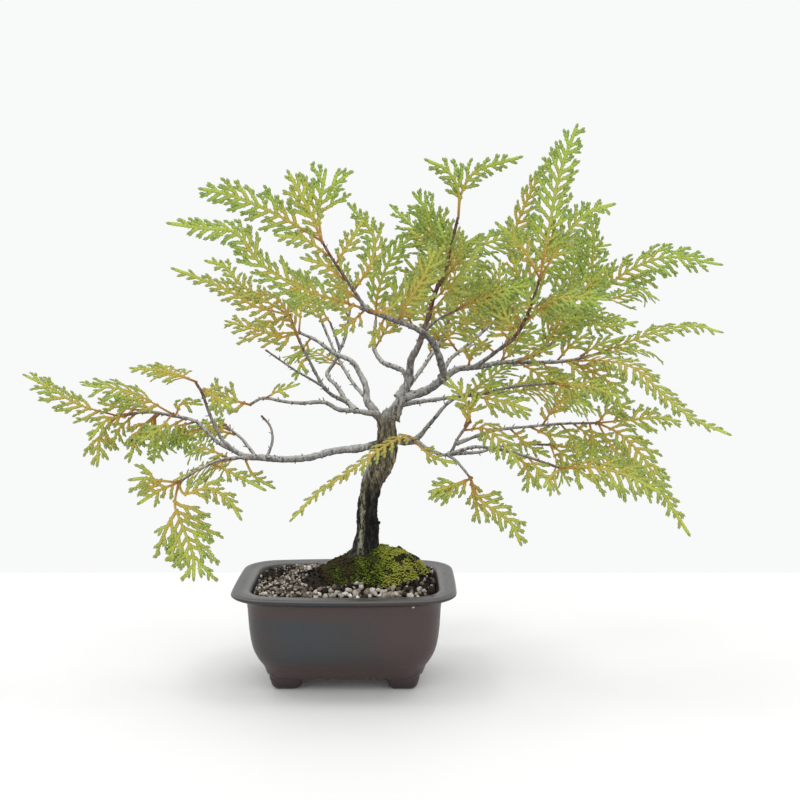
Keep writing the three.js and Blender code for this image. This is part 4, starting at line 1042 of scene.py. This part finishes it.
# How golden each frond of a spray is: 0 is fresh green and 1 is gold. The rest are PLAIN_GOLD.
GOLD = {
    "far_left": (0.45, 0.75), "far_left_upper": (0.5, 0.6), "far_left_under": (0.7, 0.45),
    "left_crest": (0.6, 0.7), "left_fan": (0.4, 0.65, 0.6), "left_shelf": (0.65, 0.45),
    "left_hollow": (0.5,), "mid_left_end": (0.65,), "mid_left_small": (0.4,),
    "crest_left": (0.2, 0.15), "crest_right": (0.38,), "wing_left": (0.32,), "tall_left": (0.2,),
    "arm_left": (0.45, 0.35), "arch_left": (1.0,), "golden": (0.95, 0.6), "inner_side": (0.6,),
    "back_left_low": (0.4,), "mast_top": (0.1, 0.15), "mast_left": (0.1, 0.28), "mast_right": (0.2,),
    "plume": (0.15, 0.25, 0.5), "back_crown": (0.8, 0.25), "rise_top": (0.25,), "arm_right": (0.2, 0.35),
    "right_tip": (0.28, 0.38), "skirt_right": (0.35, 0.45, 0.4), "brown_rise": (0.95,),
    "hanging": (0.5, 0.45), "across_trunk": (0.75, 0.6), "near_drop": (0.5,), "near_rise": (0.45,),
    "near_middle": (0.5,), "behind_shelf": (0.5,), "sweep_fore": (0.6,),
}
PLAIN_GOLD = (0.46,)

# Each spray: its limb, how far along it, and its fronds with their way, reach, tilt and turn.
Spray = namedtuple("Spray", "limb at fronds")
Frond = namedtuple("Frond", "way reach tilt turn", defaults=(0,))
SPRAYS = {
    "far_left": ("low_left_far", 1, [
        ([(-140, -20, 152), (-155, -24, 162), (-166, -26, 168)], 17, 50),
        ([(-128, -24, 136), (-129, -28, 123)], 15, 10)]),
    "far_left_upper": ("low_left_far", 0.62, [
        ([(-111, -30, 160), (-130, -40, 164)], 20, 52),
        ([(-95, -34, 141), (-104, -38, 135)], 15, 15)]),
    "far_left_under": ("low_left_far", 0.74, [
        ([(-108, -26, 138), (-111, -32, 125)], 11, 20),
        ([(-100, -20, 134), (-103, -12, 121)], 15, 25)]),
    "left_crest": ("low_left_rise", 1, [
        ([(-91, -36, 171), (-106, -42, 173)], 9, 40),
        ([(-88, -16, 168), (-104, 2, 171)], 17, 70)]),
    "left_fan": ("low_left_drop", 1, [
        ([(-86, -42, 103), (-84, -42, 96), (-80, -42, 85), (-77, -42, 75), (-77, -42, 65)], 30, 4),
        ([(-94, -46, 116), (-99, -52, 118), (-105, -56, 118)], 17, 10),
        ([(-80, -46, 109), (-68, -47, 112), (-58, -45, 106), (-53, -43, 97)], 12, 4)]),
    "left_hollow": ("low_left_back", 1, [([(-82, 30, 130), (-101, 46, 124)], 22, 32, 20)]),
    "left_shelf": ("low_left", 0.98, [
        ([(-76, -8, 122), (-97, 6, 117)], 19, 45),
        ([(-48, -28, 114), (-39, -30, 107)], 7, 0)]),
    "mid_left_end": ("mid_left", 1, [([(-60, -12, 154), (-76, -4, 159)], 16, 15, -20)]),
    "mid_left_small": ("mid_left", 0.86, [([(-35, -18, 159), (-24, -22, 163)], 9, 40)]),
    "crest_left": ("sweep_rise", 1, [
        ([(-24, -60, 246), (-38, -62, 253), (-54, -64, 259), (-65, -66, 261)], 17, 6),
        ([(-10, -53, 251), (-7, -48, 271)], 27, 6)]),
    "crest_right": ("sweep_rise", 0.3, [
        ([(15, -44, 225), (17, -40, 238), (12, -37, 247), (5, -34, 255)], 12, 0)]),
    "wing_left": ("sweep", 1, [
        ([(-17, -58, 213), (-37, -64, 225), (-49, -68, 240), (-63, -72, 242), (-78, -76, 244)], 14, 15)]),
    "tall_left": ("twist", 1, [([(17, 34, 209), (22, 30, 225), (29, 26, 236), (38, 22, 243)], 15, 5)]),
    "arm_left": ("fore_left", 1, [
        ([(-46, -18, 204), (-56, -20, 210), (-68, -22, 216), (-86, -26, 223)], 11, 25),
        ([(-54, -12, 215), (-64, -4, 225), (-74, 0, 228)], 11, 10)]),
    "arch_left": ("fore_left", 0.8, [([(-31, -34, 206), (-40, -42, 211), (-50, -50, 209)], 8, 35)]),
    "golden": ("twin_left", 1, [
        ([(-46, 42, 188), (-70, 46, 194)], 19, 35, 20),
        ([(-28, 46, 204), (-32, 52, 219)], 17, 15, -30)]),
    "inner_side": ("inner_left_side", 1, [([(-15, 10, 202), (-30, 4, 206)], 13, 30, 25)]),
    "inner_top": ("inner_left", 1, [([(-2, 44, 216), (-6, 48, 231)], 17, 10, 35)]),
    "back_left_top": ("behind_left", 1, [([(-24, 76, 208), (-31, 82, 224)], 19, 30, 30)]),
    "back_left_low": ("behind_left", 0.7, [([(-24, 74, 175), (-41, 86, 171)], 19, 70)]),
    "mast_top": ("mast", 1, [
        ([(60, -26, 264), (54, -26, 274), (44, -26, 279)], 12, 0),
        ([(62, -25, 263), (70, -24, 274), (92, -22, 281)], 11, 0)]),
    "mast_left": ("mast", 0.72, [
        ([(40, -10, 242), (26, 0, 257)], 17, 15, 25),
        ([(45, -40, 249), (37, -50, 260)], 15, 25, -25)]),
    "mast_right": ("mast", 0.68, [([(67, -14, 233), (84, -6, 240), (99, 0, 244)], 20, 25, -20)]),
    "mast_fore": ("mast", 0.52, [([(56, -42, 213), (64, -56, 224), (69, -66, 234)], 17, 40)]),
    "mast_arm": ("mast_side", 1, [([(71, -42, 208), (82, -52, 213), (94, -60, 215)], 20, 38)]),
    "twist_side": ("twist", 0.72, [([(25, 34, 197), (36, 38, 213), (42, 40, 229)], 17, 20, 30)]),
    "sweep_fore": ("sweep", 0.78, [([(35, -50, 208), (42, -60, 220), (47, -66, 232)], 18, 32)]),
    "plume": ("right_fore", 1, [
        ([(105, -46, 246), (108, -44, 263), (112, -42, 277), (118, -40, 293)], 19, 0),
        ([(116, -40, 243), (128, -34, 253), (138, -30, 256)], 15, 15, 15),
        ([(92, -50, 232), (85, -54, 239), (79, -56, 244)], 14, 15, -20)]),
    "fore_shelf": ("right_fore", 0.72, [([(107, -52, 208), (118, -60, 209), (131, -66, 208)], 20, 42)]),
    "back_crown": ("right_back", 1, [
        ([(96, 46, 241), (103, 40, 264), (114, 34, 286)], 14, 0, -30),
        ([(116, 56, 229), (134, 60, 236), (153, 62, 239)], 22, 35, 20)]),
    "back_middle": ("right_back", 0.62, [([(82, 44, 196), (88, 58, 213), (90, 68, 229)], 22, 30, 35)]),
    "back_shelf": ("right_back", 0.82, [([(107, 58, 200), (127, 68, 196), (144, 74, 191)], 20, 50)]),
    "behind_top": ("behind_middle", 1, [([(63, 68, 218), (61, 72, 237), (57, 74, 253)], 19, 15, -35)]),
    "behind_shelf": ("behind_middle", 0.72, [([(67, 68, 191), (83, 80, 195)], 19, 45)]),
    "arm_right": ("right_rise", 1, [
        ([(161, 30, 224), (182, 26, 231), (208, 22, 227)], 20, 30),
        ([(155, 46, 208), (171, 54, 213), (183, 60, 207)], 17, 55)]),
    "rise_fore": ("right_rise", 0.35, [([(117, 2, 196), (129, -8, 213), (139, -14, 225)], 23, 15, -25)]),
    "rise_top": ("right_rise", 0.62, [([(124, 26, 207), (129, 30, 227), (134, 34, 244)], 19, 10, 30)]),
    "right_tip": ("right", 1, [
        ([(149, -6, 183), (168, -12, 191), (185, -18, 194), (197, -22, 191)], 12, 45),
        ([(156, 16, 179), (172, 26, 177), (180, 32, 172)], 10, 60)]),
    "right_sweep": ("right", 0.86, [
        ([(139, -14, 175), (152, -30, 172), (163, -42, 161), (176, -54, 149), (192, -60, 142)], 12, 40),
        ([(136, -4, 168), (145, -9, 160), (149, -12, 149)], 17, 15)]),
    "right_upper": ("right", 0.42, [([(90, -10, 186), (98, -20, 197)], 18, 30, -30)]),
    "right_under": ("right", 0.56, [([(106, -6, 167), (117, -14, 163)], 15, 30)]),
    "skirt_right": ("low_right_long", 1, [
        ([(149, -14, 135), (159, -25, 124), (167, -32, 108), (180, -36, 87)], 14, 15),
        ([(156, 4, 141), (172, 8, 142), (184, 10, 140)], 15, 35),
        ([(148, 10, 126), (162, 20, 112), (172, 26, 97)], 15, 15)]),
    "skirt_fore": ("low_right_fore", 1, [
        ([(126, -50, 122), (143, -54, 117), (159, -56, 107)], 18, 35),
        ([(105, -52, 118), (101, -58, 114)], 13, 15)]),
    "brown_rise": ("low_right_long", 0.62, [
        ([(111, -12, 147), (116, -16, 153), (127, -22, 160)], 12, 0, 20)]),
    "near_drop": ("low_right_run", 0.9, [
        ([(75, -26, 140), (82, -34, 135), (89, -42, 127), (91, -48, 123)], 15, 25, 25)]),
    "near_rise": ("low_right_run", 1, [([(64, -26, 155), (56, -30, 166)], 15, 15, -30)]),
    "near_middle": ("low_right_rise", 0.5, [([(82, -28, 155), (96, -32, 151)], 15, 20, -25)]),
    "near_end": ("low_right_rise", 1, [([(127, -33, 163), (143, -38, 158)], 14, 45)]),
    "skirt_back": ("low_right_back", 1, [
        ([(135, 36, 120), (155, 42, 112), (172, 46, 104)], 20, 45, 15),
        ([(122, 38, 112), (130, 46, 98)], 16, 20, 30)]),
    "hanging": ("low_right_drop", 1, [
        ([(72, -30, 103), (82, -32, 96), (89, -34, 90), (93, -35, 81)], 15, 0),
        ([(56, -30, 110), (46, -34, 108)], 14, 15)]),
    "across_trunk": ("low_right", 0.85, [
        ([(33, -24, 136), (22, -35, 132), (2, -46, 119), (-11, -50, 111), (-24, -54, 98)], 9, 62),
        ([(48, -20, 124), (59, -27, 122)], 7, 20)]),
    "back_right_end": ("behind_right", 1, [([(115, 68, 152), (135, 76, 146), (152, 82, 138)], 21, 50)]),
    "back_right_rise": ("behind_right", 0.68, [([(84, 60, 160), (98, 72, 169)], 19, 60)]),
}
SPRAYS = {
    name: Spray(limb, at, [Frond(*frond) for frond in fronds])
    for name, (limb, at, fronds) in SPRAYS.items()
}


def drawer(seed):
    """Draws from a whole-number series that a seed fixes, the same one that cut the leaflets."""
    state = (seed * 7919 + 104729) % 2147483647

    def draw():
        nonlocal state
        state = state * 48271 % 2147483647
        return state / 2147483647

    return draw


def face_of(frond):
    """The way a frond's flat side looks: tilt 0 faces the viewer and 90 faces up, then turned aside."""
    tilt = math.radians(frond.tilt)
    turn = math.radians(frond.turn)
    return np.array([math.cos(tilt) * math.sin(turn), -math.cos(tilt) * math.cos(turn), math.sin(tilt)])


def seat_of(spray):
    """The point just off the bark of its limb where a spray's stalk is free."""
    route = limb_routes[spray.limb]
    walked = spray.at * route.length
    centre = route.at(walked)
    along = route.along(walked)
    if spray.at == 1:
        return centre + along * 2 * CLEARANCE
    out = np.array(spray.fronds[0].way[0]) - centre
    out = out - along * (out @ along)
    radius = limb_radius(LIMBS[spray.limb], spray.at)
    return centre + out / np.linalg.norm(out) * (radius + 2 * CLEARANCE)


def frond_route(spray, frond, bend):
    """The frond's rachis, bent by so much towards the side that it faces."""
    shift = face_of(frond) * bend / len(frond.way)
    return Route([seat_of(spray)] + [np.array(p) + shift * (i + 1) for i, p in enumerate(frond.way)])


def bend_of(name, spray):
    """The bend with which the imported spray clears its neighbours: its frond tips lie on its solid."""
    corners = np.array([vertex.co[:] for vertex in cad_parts["spray_" + name].data.vertices])
    solid = (corners - POT_MIDDLE) / MM

    def miss(bend):
        tips = [frond_route(spray, frond, bend) for frond in spray.fronds]
        return sum(np.linalg.norm(solid - tip.at(tip.length + 3), axis=1).min() for tip in tips)

    bends = [BEND_STEP * math.ceil(k / 2) * (1 if k % 2 else -1) for k in range(MOST_BENDS + 1)]
    return min(bends, key=miss)


def leaflets_of(length, reach, bare, draw):
    """Side shoots along the rachis as (distance, side, angle, length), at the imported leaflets' places."""
    found = []
    for side in (1, -1):
        s = bare if side > 0 else bare + LEAFLET_PITCH / 2
        while s < length - 2.5:
            u = s / length
            angle = math.radians(50 - 16 * u + 4 * (draw() - 0.5))
            shape = min(1, 0.5 + 1.6 * u) * (1 - 0.72 * u**2.2)
            size = max(LEAST_LEAFLET, reach * shape * (0.8 + 0.35 * draw()))
            found.append((s, side, angle, size))
            s += LEAFLET_PITCH * (0.94 + 0.12 * draw())
    return found


class Chain:
    """The scales of one frond, listed as they are laid: each with its place on a flat frond."""

    def __init__(self):
        self.rows = []

    def lay(self, *row):
        self.rows.append(row)

    def shoot(self, chance, start, away, length, lift, curl, age, tone, order):
        """One shoot of scales: it leaves its parent at an angle, bends back along it and bears teeth."""
        s, b, parent = start
        count = max(2, round(length / SCALE_PITCH))
        pitch = length / count
        side = math.copysign(1, away)
        inward = chance.random() < 0.7
        walked = 0.0
        next_tooth = 1.2 + length * chance.uniform(0.08, 0.25)
        for k in range(count):
            t = (k + 0.5) / count
            turn = parent + away * (1.16 - 0.4 * t)
            climb = 2 * curl * walked / length
            broad = SCALE_WIDTH * (1.0 - 0.05 * order) * (0.95 + 0.06 * t)
            tip = 1.0 if k == count - 1 else 0.5 if k == count - 2 else 0.0
            grown_age = min(age + 0.32 * t, 1)
            self.lay(s, b, turn, lift, climb, broad, grown_age, tip, tone)
            left = length - walked
            if order < TEETH_ORDERS and length > PLAIN_SHOOT and walked >= next_tooth and left > TOOTH_ROOM:
                long = (0.6 if inward else 0.42) * left + 1.4
                leave = (-side if inward else side) * math.radians(chance.uniform(26, 38))
                long = max(long * chance.uniform(0.75, 1.1), LEAST_TOOTH)
                bow = curl * 0.5 + chance.uniform(-0.1, 0.1)
                tooth_age = min(grown_age + 0.03, 1)
                self.shoot(chance, (s, b, turn), leave, long, lift, bow, tooth_age, tone, order + 1)
                inward = not inward
                next_tooth = walked + SHOOT_GAP * chance.uniform(0.6, 1.0)
            s += pitch * math.cos(turn)
            b += pitch * math.sin(turn)
            lift += pitch * climb
            walked += pitch


def frond_scales(route, face, reach, bare, draw, chance, gold, hue):
    """The scales of one frond: those of its rachis, then of every side shoot and of the shoots between."""
    chain = Chain()
    length = route.length
    end = length + 2.2
    s = 1.0
    while s < end:
        u = min(s / length, 1)
        tip = 1.0 if s + SCALE_PITCH >= end else 0.0
        ripe = 0.22 + 0.64 * u**0.6 - 0.28 * gold
        chain.lay(s, 0, 0, 0.1, 0, SCALE_WIDTH * (0.6 + 0.38 * u), ripe, tip, hue)
        s += SCALE_PITCH
    leaflets = leaflets_of(length, reach, bare, draw)
    between = []
    for (s1, side, angle1, size1), (s2, other, angle2, size2) in zip(leaflets, leaflets[1:]):
        if side == other:
            share = chance.uniform(0.42, 0.58)
            size = (size1 + share * (size2 - size1)) * chance.uniform(0.6, 1.05)
            angle = angle1 + share * (angle2 - angle1) + math.radians(chance.uniform(-6, 6))
            between.append((s1 + share * (s2 - s1), side, angle, size))
    for s, side, angle, size in leaflets + between:
        u = s / length
        age = 0.4 + 0.26 * u - 0.34 * gold + chance.uniform(-0.1, 0.08)
        tone = np.clip(hue + chance.normal(0, 0.1), 0, 1)
        curl = chance.normal(-0.22, 0.16)
        lift = chance.uniform(-0.2, 0.2)
        chain.shoot(chance, (s, 0.0, 0.0), side * angle, size + 0.6, lift, curl, age, tone, 0)
    s, b, heading, lift, climb, width, age, tip, tone = np.array(chain.rows).T

    def placed(s, b, lift):
        along = route.along(s)
        normal = face - along * (along @ face)[:, None]
        normal /= np.linalg.norm(normal, axis=1)[:, None]
        side = np.cross(normal, along)
        return route.at(s) + side * b[:, None] + normal * (lift - BLADE_ARCH * b * b)[:, None], normal

    here, normal = placed(s, b, lift)
    there, _ = placed(s + 0.5 * np.cos(heading), b + 0.5 * np.sin(heading), lift + 0.5 * climb)
    ahead = there - here
    ahead /= np.linalg.norm(ahead, axis=1)[:, None]
    normal -= ahead * np.sum(normal * ahead, axis=1)[:, None]
    normal /= np.linalg.norm(normal, axis=1)[:, None]
    axes = np.stack([
        ahead * SCALE_PITCH * 1.3,
        np.cross(normal, ahead) * width[:, None] * np.where(tip > 0.9, 0.8, 1.0)[:, None],
        normal * SCALE_THICKNESS,
    ], 1)
    return here, axes, age, tip, tone


bpy.ops.object.select_all(action="DESELECT")
bpy.ops.mesh.primitive_cone_add(
    vertices=4, radius1=0.4, radius2=0.5, depth=0.62, location=(-0.19, 0, 0),
    rotation=(0, math.radians(90), 0),
)
scale = bpy.context.object
bpy.ops.object.transform_apply(location=True, rotation=True)
bpy.ops.object.mode_set(mode="EDIT")
bpy.ops.mesh.select_all(action="DESELECT")
bpy.ops.object.mode_set(mode="OBJECT")
for polygon in scale.data.polygons:
    polygon.select = polygon.normal.x > 0.9
bpy.ops.object.mode_set(mode="EDIT")
bpy.ops.mesh.extrude_region_move(TRANSFORM_OT_translate={"value": (0.5, 0, 0)})
bpy.ops.mesh.merge(type="CENTER")
bpy.ops.object.mode_set(mode="OBJECT")
scale_leaf = shape_of(scale)

LEAF_COLOURS = [
    (0.0, linear("#80522c")), (0.1, linear("#a87a3c")), (0.22, linear("#c49f4c")),
    (0.38, linear("#c4b352")), (0.56, linear("#b6ba58")), (0.78, linear("#bece56")),
    (1.0, linear("#b2ca52")),
]
leaf = Finish("scale leaves", Roughness=0.6, Specular_IOR_Level=0.35)
mottle = leaf.grain(3.5, 2)
hue = leaf.label("tone") + (mottle - 0.5) * 0.25
lively = leaf.strand.node(
    "ValToRGB", {"stops": LEAF_COLOURS}, {"Fac": leaf.label("age") + (mottle - 0.5) * 0.2}
)
green = leaf.label("age").step(0.4, 0.7)
lively = (hue.step(0.45, 0.05) * green * 0.42).between(lively, linear("#86b44a"))
lively = (hue.step(0.55, 1.0) * green * 0.5).between(lively, linear("#cfcd4a"))
lively = (leaf.label("tip") * (0.25 + green * 0.25)).between(lively, linear("#74825c"))
leaf_finish = leaf.end(lively)


def stalk(route, length):
    """The bare brown stalk of a frond: a thin tube from inside the limb to part way along the frond."""
    s = np.linspace(-1.3, length, max(4, int(length / 2.5)))
    radii = np.interp(s, [0, length], STALK_RADII)
    tube = loft(route.at(s), route.along(s), np.repeat(radii[:, None], STALK_SIDES, 1), STALK_SIDES)
    return tube, np.repeat(s, STALK_SIDES)


def grown(spray, golds, bend, seed):
    """Stalks and scales of one spray's fronds, with the age, the tip and the tone of every point."""
    draw = drawer(seed)
    chance = np.random.default_rng(seed)
    fresh = np.mean(golds) < FRESH_BELOW
    hue = chance.uniform(0.0, 0.25) if fresh else chance.uniform(0.1, 0.75)
    bare = BARE_FORK if len(spray.fronds) > 1 else BARE_STALK
    made = []
    for frond, gold in zip(spray.fronds, golds):
        route = frond_route(spray, frond, bend)
        tube, walked = stalk(route, 0.5 * route.length)
        ripe = 0.1 + 0.45 * walked / route.length - 0.08 * gold
        made.append((tube, ripe, np.zeros(len(walked)), np.full(len(walked), hue)))
        face = face_of(frond)
        here, axes, *rows = frond_scales(route, face, frond.reach, bare, draw, chance, gold, hue)
        scales = stamped(scale_leaf, metres(here), axes * MM)
        made.append((scales, *(np.repeat(row, scales["each"]) for row in rows)))
    return made


def leafy(name, made, slot):
    """One piece from grown stalks and scales."""
    batches, *rows = zip(*made)
    values = [np.clip(np.concatenate(row), 0, 1) for row in rows]
    piece = gathered(name, batches, dict(zip(("age", "tip", "tone"), values)))
    only(piece)
    bpy.ops.object.shade_smooth()
    piece.data.materials.append(leaf_finish)
    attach(piece, "root")
    return piece


for index, (name, spray) in enumerate(SPRAYS.items()):
    golds = GOLD.get(name, PLAIN_GOLD * len(spray.fronds))
    made = grown(spray, golds, bend_of(name, spray), index + 1)
    piece = leafy("leaf_" + name, made, "leaf_golden" if name in GOLDEN else "leaf_green")
    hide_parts("spray_" + name)

# Inner sprays: single short fronds that fill the crown between the large sprays. Each stands on its
# limb at a share of its length: limb, share, way of the frond, reach, tilt and how golden it is.
INNER_SEED = 200
INNER = {
    "left": (
        ("low_left_far", 0.72, [(-107, -24, 139), (-111, -28, 128)], 11, 10, 0.89),
        ("low_left_far", 0.9, [(-121, -14, 138), (-126, -10, 128)], 10, 20, 0.49),
        ("low_left_far", 0.55, [(-95, -26, 138), (-98, -30, 129)], 11, 15, 0.24),
        ("low_left_far", 0.4, [(-95, -12, 132), (-102, -6, 123)], 12, 40, 0.34),
        ("low_left_far", 0.95, [(-125, -26, 144), (-131, -32, 136)], 10, 15, 0.44),
        ("low_left_far", 0.8, [(-110, -10, 153), (-122, -4, 156)], 10, 50, 0.44),
        ("low_left_far", 0.6, [(-87, -12, 152), (-78, -8, 151)], 9, 40, 0.44),
        ("low_left_drop", 1, [(-95, -36, 109), (-106, -34, 102)], 13, 5, 0.49),
        ("low_left_drop", 0.5, [(-57, -36, 118), (-41, -42, 111)], 8, 25, 0.44),
        ("low_left_drop", 0.3, [(-74, -22, 129), (-84, -16, 126)], 10, 45, 0.34),
        ("low_left_rise", 0.9, [(-67, -36, 159), (-56, -40, 152)], 11, 20, 0.64),
        ("low_left_back", 0.8, [(-74, 14, 137), (-83, 20, 132)], 10, 40, 0.44),
        ("low_left_back", 0.6, [(-79, 10, 136), (-89, 12, 130)], 13, 20, 0.34),
        ("low_left_far", 0.48, [(-89, -18, 139), (-83, -16, 129)], 12, 20, 0.29),
        ("low_left_far", 0.85, [(-117, -16, 150), (-129, -20, 153)], 11, 30, 0.74),
    ),
    "upper_left": (
        ("sweep_rise", 1, [(-14, -62, 251), (-23, -66, 268)], 13, 5, 0.34),
        ("sweep_rise", 0.85, [(-16, -62, 237), (-29, -66, 239)], 9, 10, 0.34),
        ("sweep_rise", 0.7, [(4, -48, 235), (11, -42, 247)], 10, 5, 0.39),
        ("sweep_rise", 0.5, [(-7, -58, 225), (-17, -62, 228)], 9, 10, 0.44),
        ("sweep", 0.95, [(22, -52, 202), (31, -56, 209)], 9, 15, 0.94),
        ("sweep_rise", 0.15, [(2, -44, 213), (-8, -38, 216)], 12, 25, 0.54),
        ("sweep", 0.97, [(6, -40, 197), (-3, -36, 190)], 9, 10, 0.64),
        ("sweep", 0.85, [(19, -36, 192), (15, -32, 185)], 8, 10, 0.64),
        ("mast", 0.9, [(47, -30, 245), (36, -34, 252)], 13, 10, 0.24),
        ("mast", 0.8, [(46, -20, 236), (35, -14, 244)], 13, 15, 0.39),
        ("inner_left", 0.95, [(-5, 32, 206), (-14, 30, 209)], 11, 25, 0.54),
        ("fore_left", 0.85, [(-33, -22, 188), (-40, -28, 191)], 12, 25, 0.94),
        ("fore_left", 1, [(-36, -16, 196), (-46, -12, 196)], 11, 30, 0.94),
        ("twin_left", 0.9, [(-28, 40, 177), (-34, 42, 171)], 9, 15, 0.54),
        ("fore_left", 0.6, [(-23, -14, 173), (-25, -16, 167)], 7, 10, 0.44),
    ),
    "middle": (
        ("right_back", 0.3, [(55, 14, 188), (48, 10, 195)], 11, 30, 0.64),
        ("right_back", 0.5, [(66, 34, 197), (58, 36, 204)], 13, 30, 0.44),
        ("right_back", 0.75, [(79, 44, 207), (72, 46, 217)], 14, 30, 0.54),
        ("right_fore", 0.25, [(71, -20, 186), (59, -24, 192)], 12, 50, 0.49),
        ("right_fore", 0.45, [(78, -30, 196), (68, -32, 201)], 14, 40, 0.44),
        ("right_fore", 0.65, [(85, -42, 205), (78, -46, 215)], 14, 25, 0.44),
        ("right_fore", 0.85, [(90, -46, 218), (86, -50, 229)], 14, 20, 0.49),
        ("right_fore", 0.7, [(103, -42, 203), (114, -46, 205)], 13, 35, 0.29),
        ("right_fore", 0.35, [(93, -26, 188), (103, -30, 192)], 12, 45, 0.44),
        ("right", 0.45, [(96, 8, 180), (111, 14, 186)], 13, 50, 0.44),
        ("right_rise", 0.3, [(113, 8, 187), (121, 4, 194)], 13, 35, 0.34),
        ("mast", 0.85, [(47, -30, 240), (41, -32, 247)], 11, 10, 0.44),
        ("mast", 0.62, [(40, -26, 220), (34, -28, 227)], 13, 15, 0.54),
        ("mast", 0.75, [(62, -20, 234), (71, -16, 241)], 13, 15, 0.34),
        ("mast", 0.6, [(57, -28, 216), (65, -32, 218)], 12, 30, 0.64),
        ("sweep", 0.7, [(30, -36, 208), (24, -38, 217)], 12, 15, 0.59),
        ("behind_middle", 0.9, [(67, 60, 208), (78, 62, 217)], 15, 20, 0.44),
        ("behind_middle", 0.75, [(45, 52, 196), (37, 54, 208)], 14, 20, 0.54),
        ("mast_side", 1, [(70, -36, 209), (81, -42, 210)], 12, 40, 0.54),
        ("right_back", 0.3, [(64, 6, 179), (75, 2, 180)], 10, 40, 0.69),
        ("right", 0.2, [(69, -10, 180), (78, -16, 185)], 10, 45, 0.64),
        ("right", 0.55, [(105, -6, 179), (113, -12, 183)], 10, 35, 0.59),
        ("right_fore", 0.85, [(101, -40, 213), (103, -42, 222)], 11, 10, 0.49),
        ("right_fore", 0.5, [(86, -20, 198), (94, -14, 205)], 12, 30, 0.64),
        ("behind_middle", 0.6, [(54, 56, 184), (44, 58, 189)], 11, 30, 0.74),
        ("mast", 0.45, [(50, -10, 201), (60, -6, 198)], 11, 40, 0.74),
        ("mast", 0.68, [(47, -40, 224), (52, -44, 235)], 13, 15, 0.39),
        ("mast", 0.55, [(42, -36, 211), (38, -40, 221)], 12, 20, 0.74),
        ("mast", 0.8, [(53, -40, 236), (49, -42, 247)], 12, 10, 0.24),
        ("right_fore", 0.6, [(85, -44, 197), (80, -50, 208)], 14, 20, 0.49),
        ("right_fore", 0.8, [(94, -52, 206), (92, -56, 219)], 13, 20, 0.29),
        ("mast_side", 0.9, [(73, -20, 213), (74, -20, 224)], 14, 15, 0.39),
        ("right_back", 0.6, [(76, 30, 207), (84, 28, 217)], 13, 20, 0.44),
        ("right_fore", 0.55, [(81, -36, 203), (73, -38, 215)], 14, 15, 0.44),
        ("behind_middle", 1, [(72, 60, 218), (81, 60, 229)], 14, 15, 0.34),
    ),
    "right": (
        ("right_rise", 0.6, [(131, 20, 197), (143, 16, 202)], 14, 35, 0.34),
        ("right_rise", 0.8, [(142, 34, 197), (159, 38, 196)], 13, 45, 0.39),
        ("right_rise", 0.9, [(140, 30, 213), (148, 28, 220)], 14, 15, 0.34),
        ("right", 0.8, [(125, 6, 183), (135, 10, 189)], 12, 35, 0.44),
        ("right", 0.95, [(138, -4, 183), (149, -8, 187)], 12, 40, 0.34),
        ("right", 0.7, [(116, -8, 165), (127, -12, 160)], 12, 30, 0.34),
        ("right", 0.9, [(135, 6, 164), (144, 10, 154)], 13, 20, 0.54),
        ("low_right_long", 0.95, [(135, -6, 130), (133, -10, 120)], 12, 10, 0.34),
        ("low_right_long", 0.75, [(124, -10, 132), (127, -14, 123)], 11, 15, 0.44),
        ("low_right_fore", 0.75, [(101, -46, 121), (107, -50, 115)], 11, 20, 0.44),
        ("low_right_fore", 1, [(119, -48, 122), (127, -52, 117)], 12, 25, 0.34),
        ("low_right_back", 1, [(126, 32, 117), (137, 36, 108)], 13, 25, 0.34),
        ("low_right_long", 1, [(146, 4, 147), (159, 8, 151)], 12, 35, 0.34),
        ("low_right_rise", 1, [(119, -30, 160), (127, -34, 154)], 11, 30, 0.44),
        ("low_right_rise", 0.5, [(72, -20, 161), (83, -24, 163)], 10, 35, 0.29),
        ("low_right_run", 0.95, [(68, -24, 151), (72, -28, 158)], 10, 15, 0.49),
        ("low_right_drop", 1, [(60, -28, 110), (51, -30, 107)], 13, 5, 0.34),
        ("low_right_long", 0.85, [(135, 4, 132), (145, 8, 123)], 12, 20, 0.44),
        ("behind_right", 0.9, [(102, 56, 157), (114, 60, 158)], 11, 40, 0.34),
        ("right_rise", 1, [(139, 30, 224), (139, 26, 242), (135, 24, 259)], 13, 5, 0.24),
        ("right_rise", 0.75, [(143, 6, 193), (158, 2, 195)], 12, 30, 0.34),
        ("right", 0.85, [(123, -4, 172), (130, -8, 166)], 9, 20, 0.54),
        ("low_right_long", 0.55, [(109, -8, 135), (119, -12, 134)], 10, 25, 0.59),
        ("low_right_long", 0.4, [(100, -4, 128), (110, -8, 123)], 10, 20, 0.54),
        ("low_right_fore", 0.6, [(96, -36, 121), (96, -38, 110)], 10, 10, 0.59),
        ("low_right_drop", 1, [(69, -26, 104), (72, -26, 91)], 10, 10, 0.74),
    ),
}
seed = INNER_SEED
for group, rows in INNER.items():
    made = []
    for limb, at, way, reach, tilt, gold in rows:
        seed += 1
        made += grown(Spray(limb, at, [Frond(way, reach, tilt)]), (gold,), 0, seed)
    leafy("inner_leaves_" + group, made, "leaf_green")
